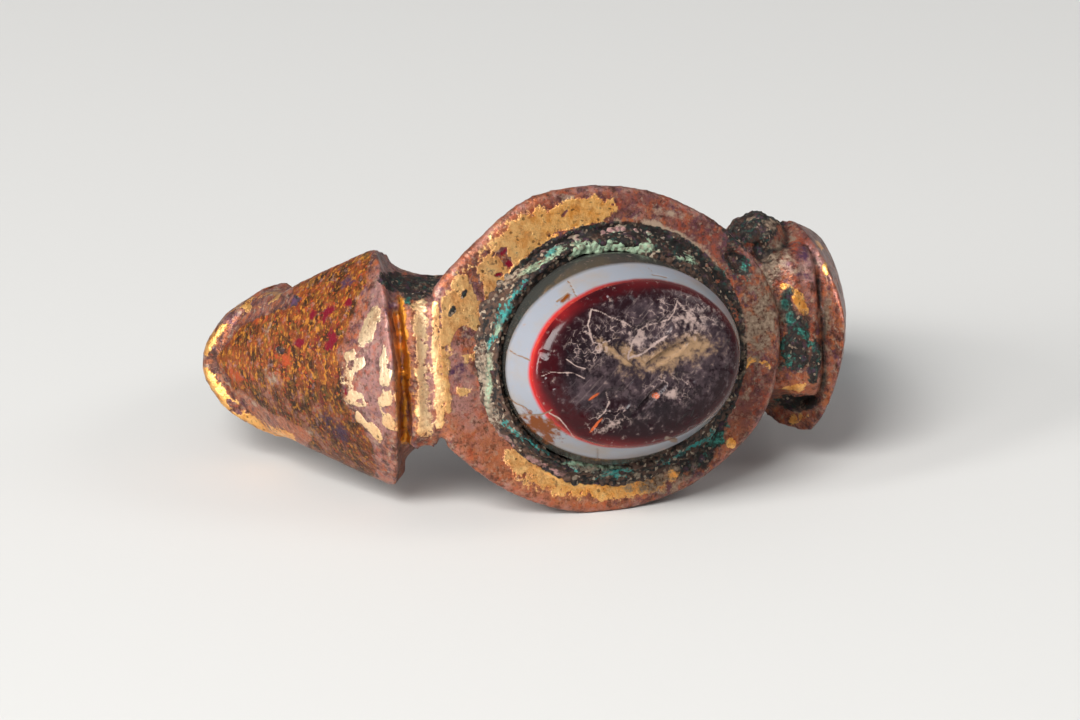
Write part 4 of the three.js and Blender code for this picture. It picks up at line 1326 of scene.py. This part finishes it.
def agateStone():
    tree = treeOf(ringMesh("agate_gem"))
    angle = np.linspace(0, 2 * math.pi, agate["steps"], endpoint=False)
    waist, girdle = np.array(agate["baseHalf"]), np.array(agate["half"])
    rings = []

    def ring(half, inset, level):
        flat = onEllipse(angle, agate["middle"], np.array(half) - inset)
        rings.append(np.stack([flat[:, 0], np.full(len(angle), -level), flat[:, 1]], axis=1))

    ring(waist, agate["footInset"], -agate["depth"])
    ring(waist, 0, -agate["depth"] * 0.4)
    ring(waist, 0, 0)
    for share in np.linspace(0, 1, agate["waistRows"]):
        ring(waist + (girdle - waist) * share, 0, agate["girdle"] * (0.5 + 0.5 * share))
    for share in np.linspace(0.04, 1, agate["shoulderRows"]):
        inset = agate["shoulderInset"] * (0.9 * share + 0.1 * share**3)
        ring(girdle, inset, agate["girdle"] + (agate["shoulder"] - agate["girdle"]) * share)
    for share in np.linspace(0.02, 1, agate["domeRows"]):
        inset = agate["shoulderInset"] + agate["domeInset"] * (1 - math.cos(share * math.pi / 2))
        lift = math.sin(share * math.pi / 2) ** 0.8
        ring(girdle, inset, agate["shoulder"] + (agate["top"] - agate["shoulder"]) * lift)
    last = rings[-1]
    middle = last.mean(axis=0)
    for share in np.linspace(0.96, 0.02, agate["middleRows"]):
        rings.append(middle + (last - middle) * share)
    data = ringedMesh("agateStone", rings, closed=False)
    points, normals = np.concatenate(rings), normalsOf(data)

    carved = np.zeros(len(points))
    for x, z, halfLength, halfWidth, turn in agate["hollows"].values():
        side = math.radians(turn)
        aside = points[:, [0, 2]] - np.array(agate["middle"]) - (x, z)
        along = aside[:, 0] * math.cos(side) + aside[:, 1] * math.sin(side)
        beside = aside[:, 1] * math.cos(side) - aside[:, 0] * math.sin(side)
        spread = (along / halfLength) ** 2 + (beside / halfWidth) ** 2
        carved = np.maximum(carved, np.clip(1 - spread, 0, 1) ** 0.5)
    onTop = smoothStep(-points[:, 1], agate["shoulder"] + 0.1, agate["top"] - 0.25)
    spots, strokes = paintOf(agate, surfaceOf(points, normals, 2.0), tree)
    worn = agate["wearDepth"] * smoothStep(spots["worn"], 0.3, 0.7) * (1 + rough(points, 0.5, 43))
    pits, number = grains(points, agate["pitSize"], 41)
    lift = agate["unevenness"] * rough(points, 1.2, 47)
    lift -= onTop * (agate["hollowDepth"] * carved + worn + agate["pitDepth"] * (number > 0.9) * pits)
    lift -= agate["crackDepth"] * smoothStep(strokes["crack"], 0.45, 0.9)
    points = points + normals * lift[:, None]
    layers = {
        **spots,
        "thin": spots["thin"] * (-points[:, 1] > agate["shoulder"] + agate["thinRise"]),
        "net": smoothStep(spots["net"], 0.3, 0.7) * onTop,
        "pink": np.maximum(strokes["net"], spots["pink"]),
        "crack": strokes["crack"],
    }
    for layer in ("worn", "ochre"):
        layers[layer] = spots[layer] * onTop
    piece = placePiece("agateStone", data, points, layers, agateMaterial)
    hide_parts("agate_gem")
    print("agate stone:", len(data.polygons), "faces")


bronzeRing()
settingCrust()
agateStone()


# Plain pale floor of matt paper with a faint tooth, and soft studio light
studio = {
    "floorHalf": 2.0,
    "floorColours": {"paper": "#d8d6d2", "shade": "#c8c6c2"},
    "worldColour": "#e9edf2",
    "worldStrength": 0.33,
    "lampsAim": (0, 0, 0.006),
    "lamps": {
        "key": {"place": (-0.34, -0.34, 0.4), "size": (0.28, 0.28), "watts": 4.6},
        "strip": {"place": (-0.5, -0.16, 0.12), "size": (0.07, 0.4), "watts": 2.4},
        "right": {"place": (0.4, -0.2, 0.36), "size": (0.2, 0.2), "watts": 0.45},
    },
}


def floorPaper():
    material, tree, shader, colour = newMaterial("floorPaper", studio["floorColours"])
    place = addNode(tree, "TexCoord").outputs["Object"]
    inputs = {"Vector": place, "Scale": 1 / (0.8 * mm), "Detail": 4.0, "Roughness": 0.6}
    tooth = {"tooth": addNode(tree, "TexNoise", None, inputs).outputs["Fac"]}
    shown = coated(tree, colour["paper"], [("tooth", 0.0, 1.0, 0.04, "shade")], tooth, colour)
    tree.links.new(shown, shader.inputs["Base Color"])
    shader.inputs["Roughness"].default_value = 0.7
    return material


def makeStudio():
    half = studio["floorHalf"]
    corners = [(-half, -half, 0), (half, -half, 0), (half, half, 0), (-half, half, 0)]
    data = bpy.data.meshes.new("floor")
    data.from_pydata(corners, [], [(0, 1, 2, 3)])
    data.materials.append(floorPaper())
    floor = bpy.data.objects.new("floor", data)
    bpy.context.scene.collection.objects.link(floor)
    world = bpy.data.worlds.new("studio")
    world.use_nodes = True
    background = world.node_tree.nodes["Background"]
    background.inputs["Color"].default_value = linear(studio["worldColour"])
    background.inputs["Strength"].default_value = studio["worldStrength"]
    bpy.context.scene.world = world
    for name, lamp in studio["lamps"].items():
        light = bpy.data.lights.new(name, "AREA")
        light.shape = "RECTANGLE"
        light.size, light.size_y = lamp["size"]
        light.energy = lamp["watts"]
        holder = bpy.data.objects.new(name, light)
        holder.location = lamp["place"]
        aim = Vector(studio["lampsAim"]) - Vector(lamp["place"])
        holder.rotation_euler = aim.to_track_quat("-Z", "Y").to_euler()
        bpy.context.scene.collection.objects.link(holder)


makeStudio()
bpy.context.scene.view_settings.view_transform = "Standard"
print("studio made")
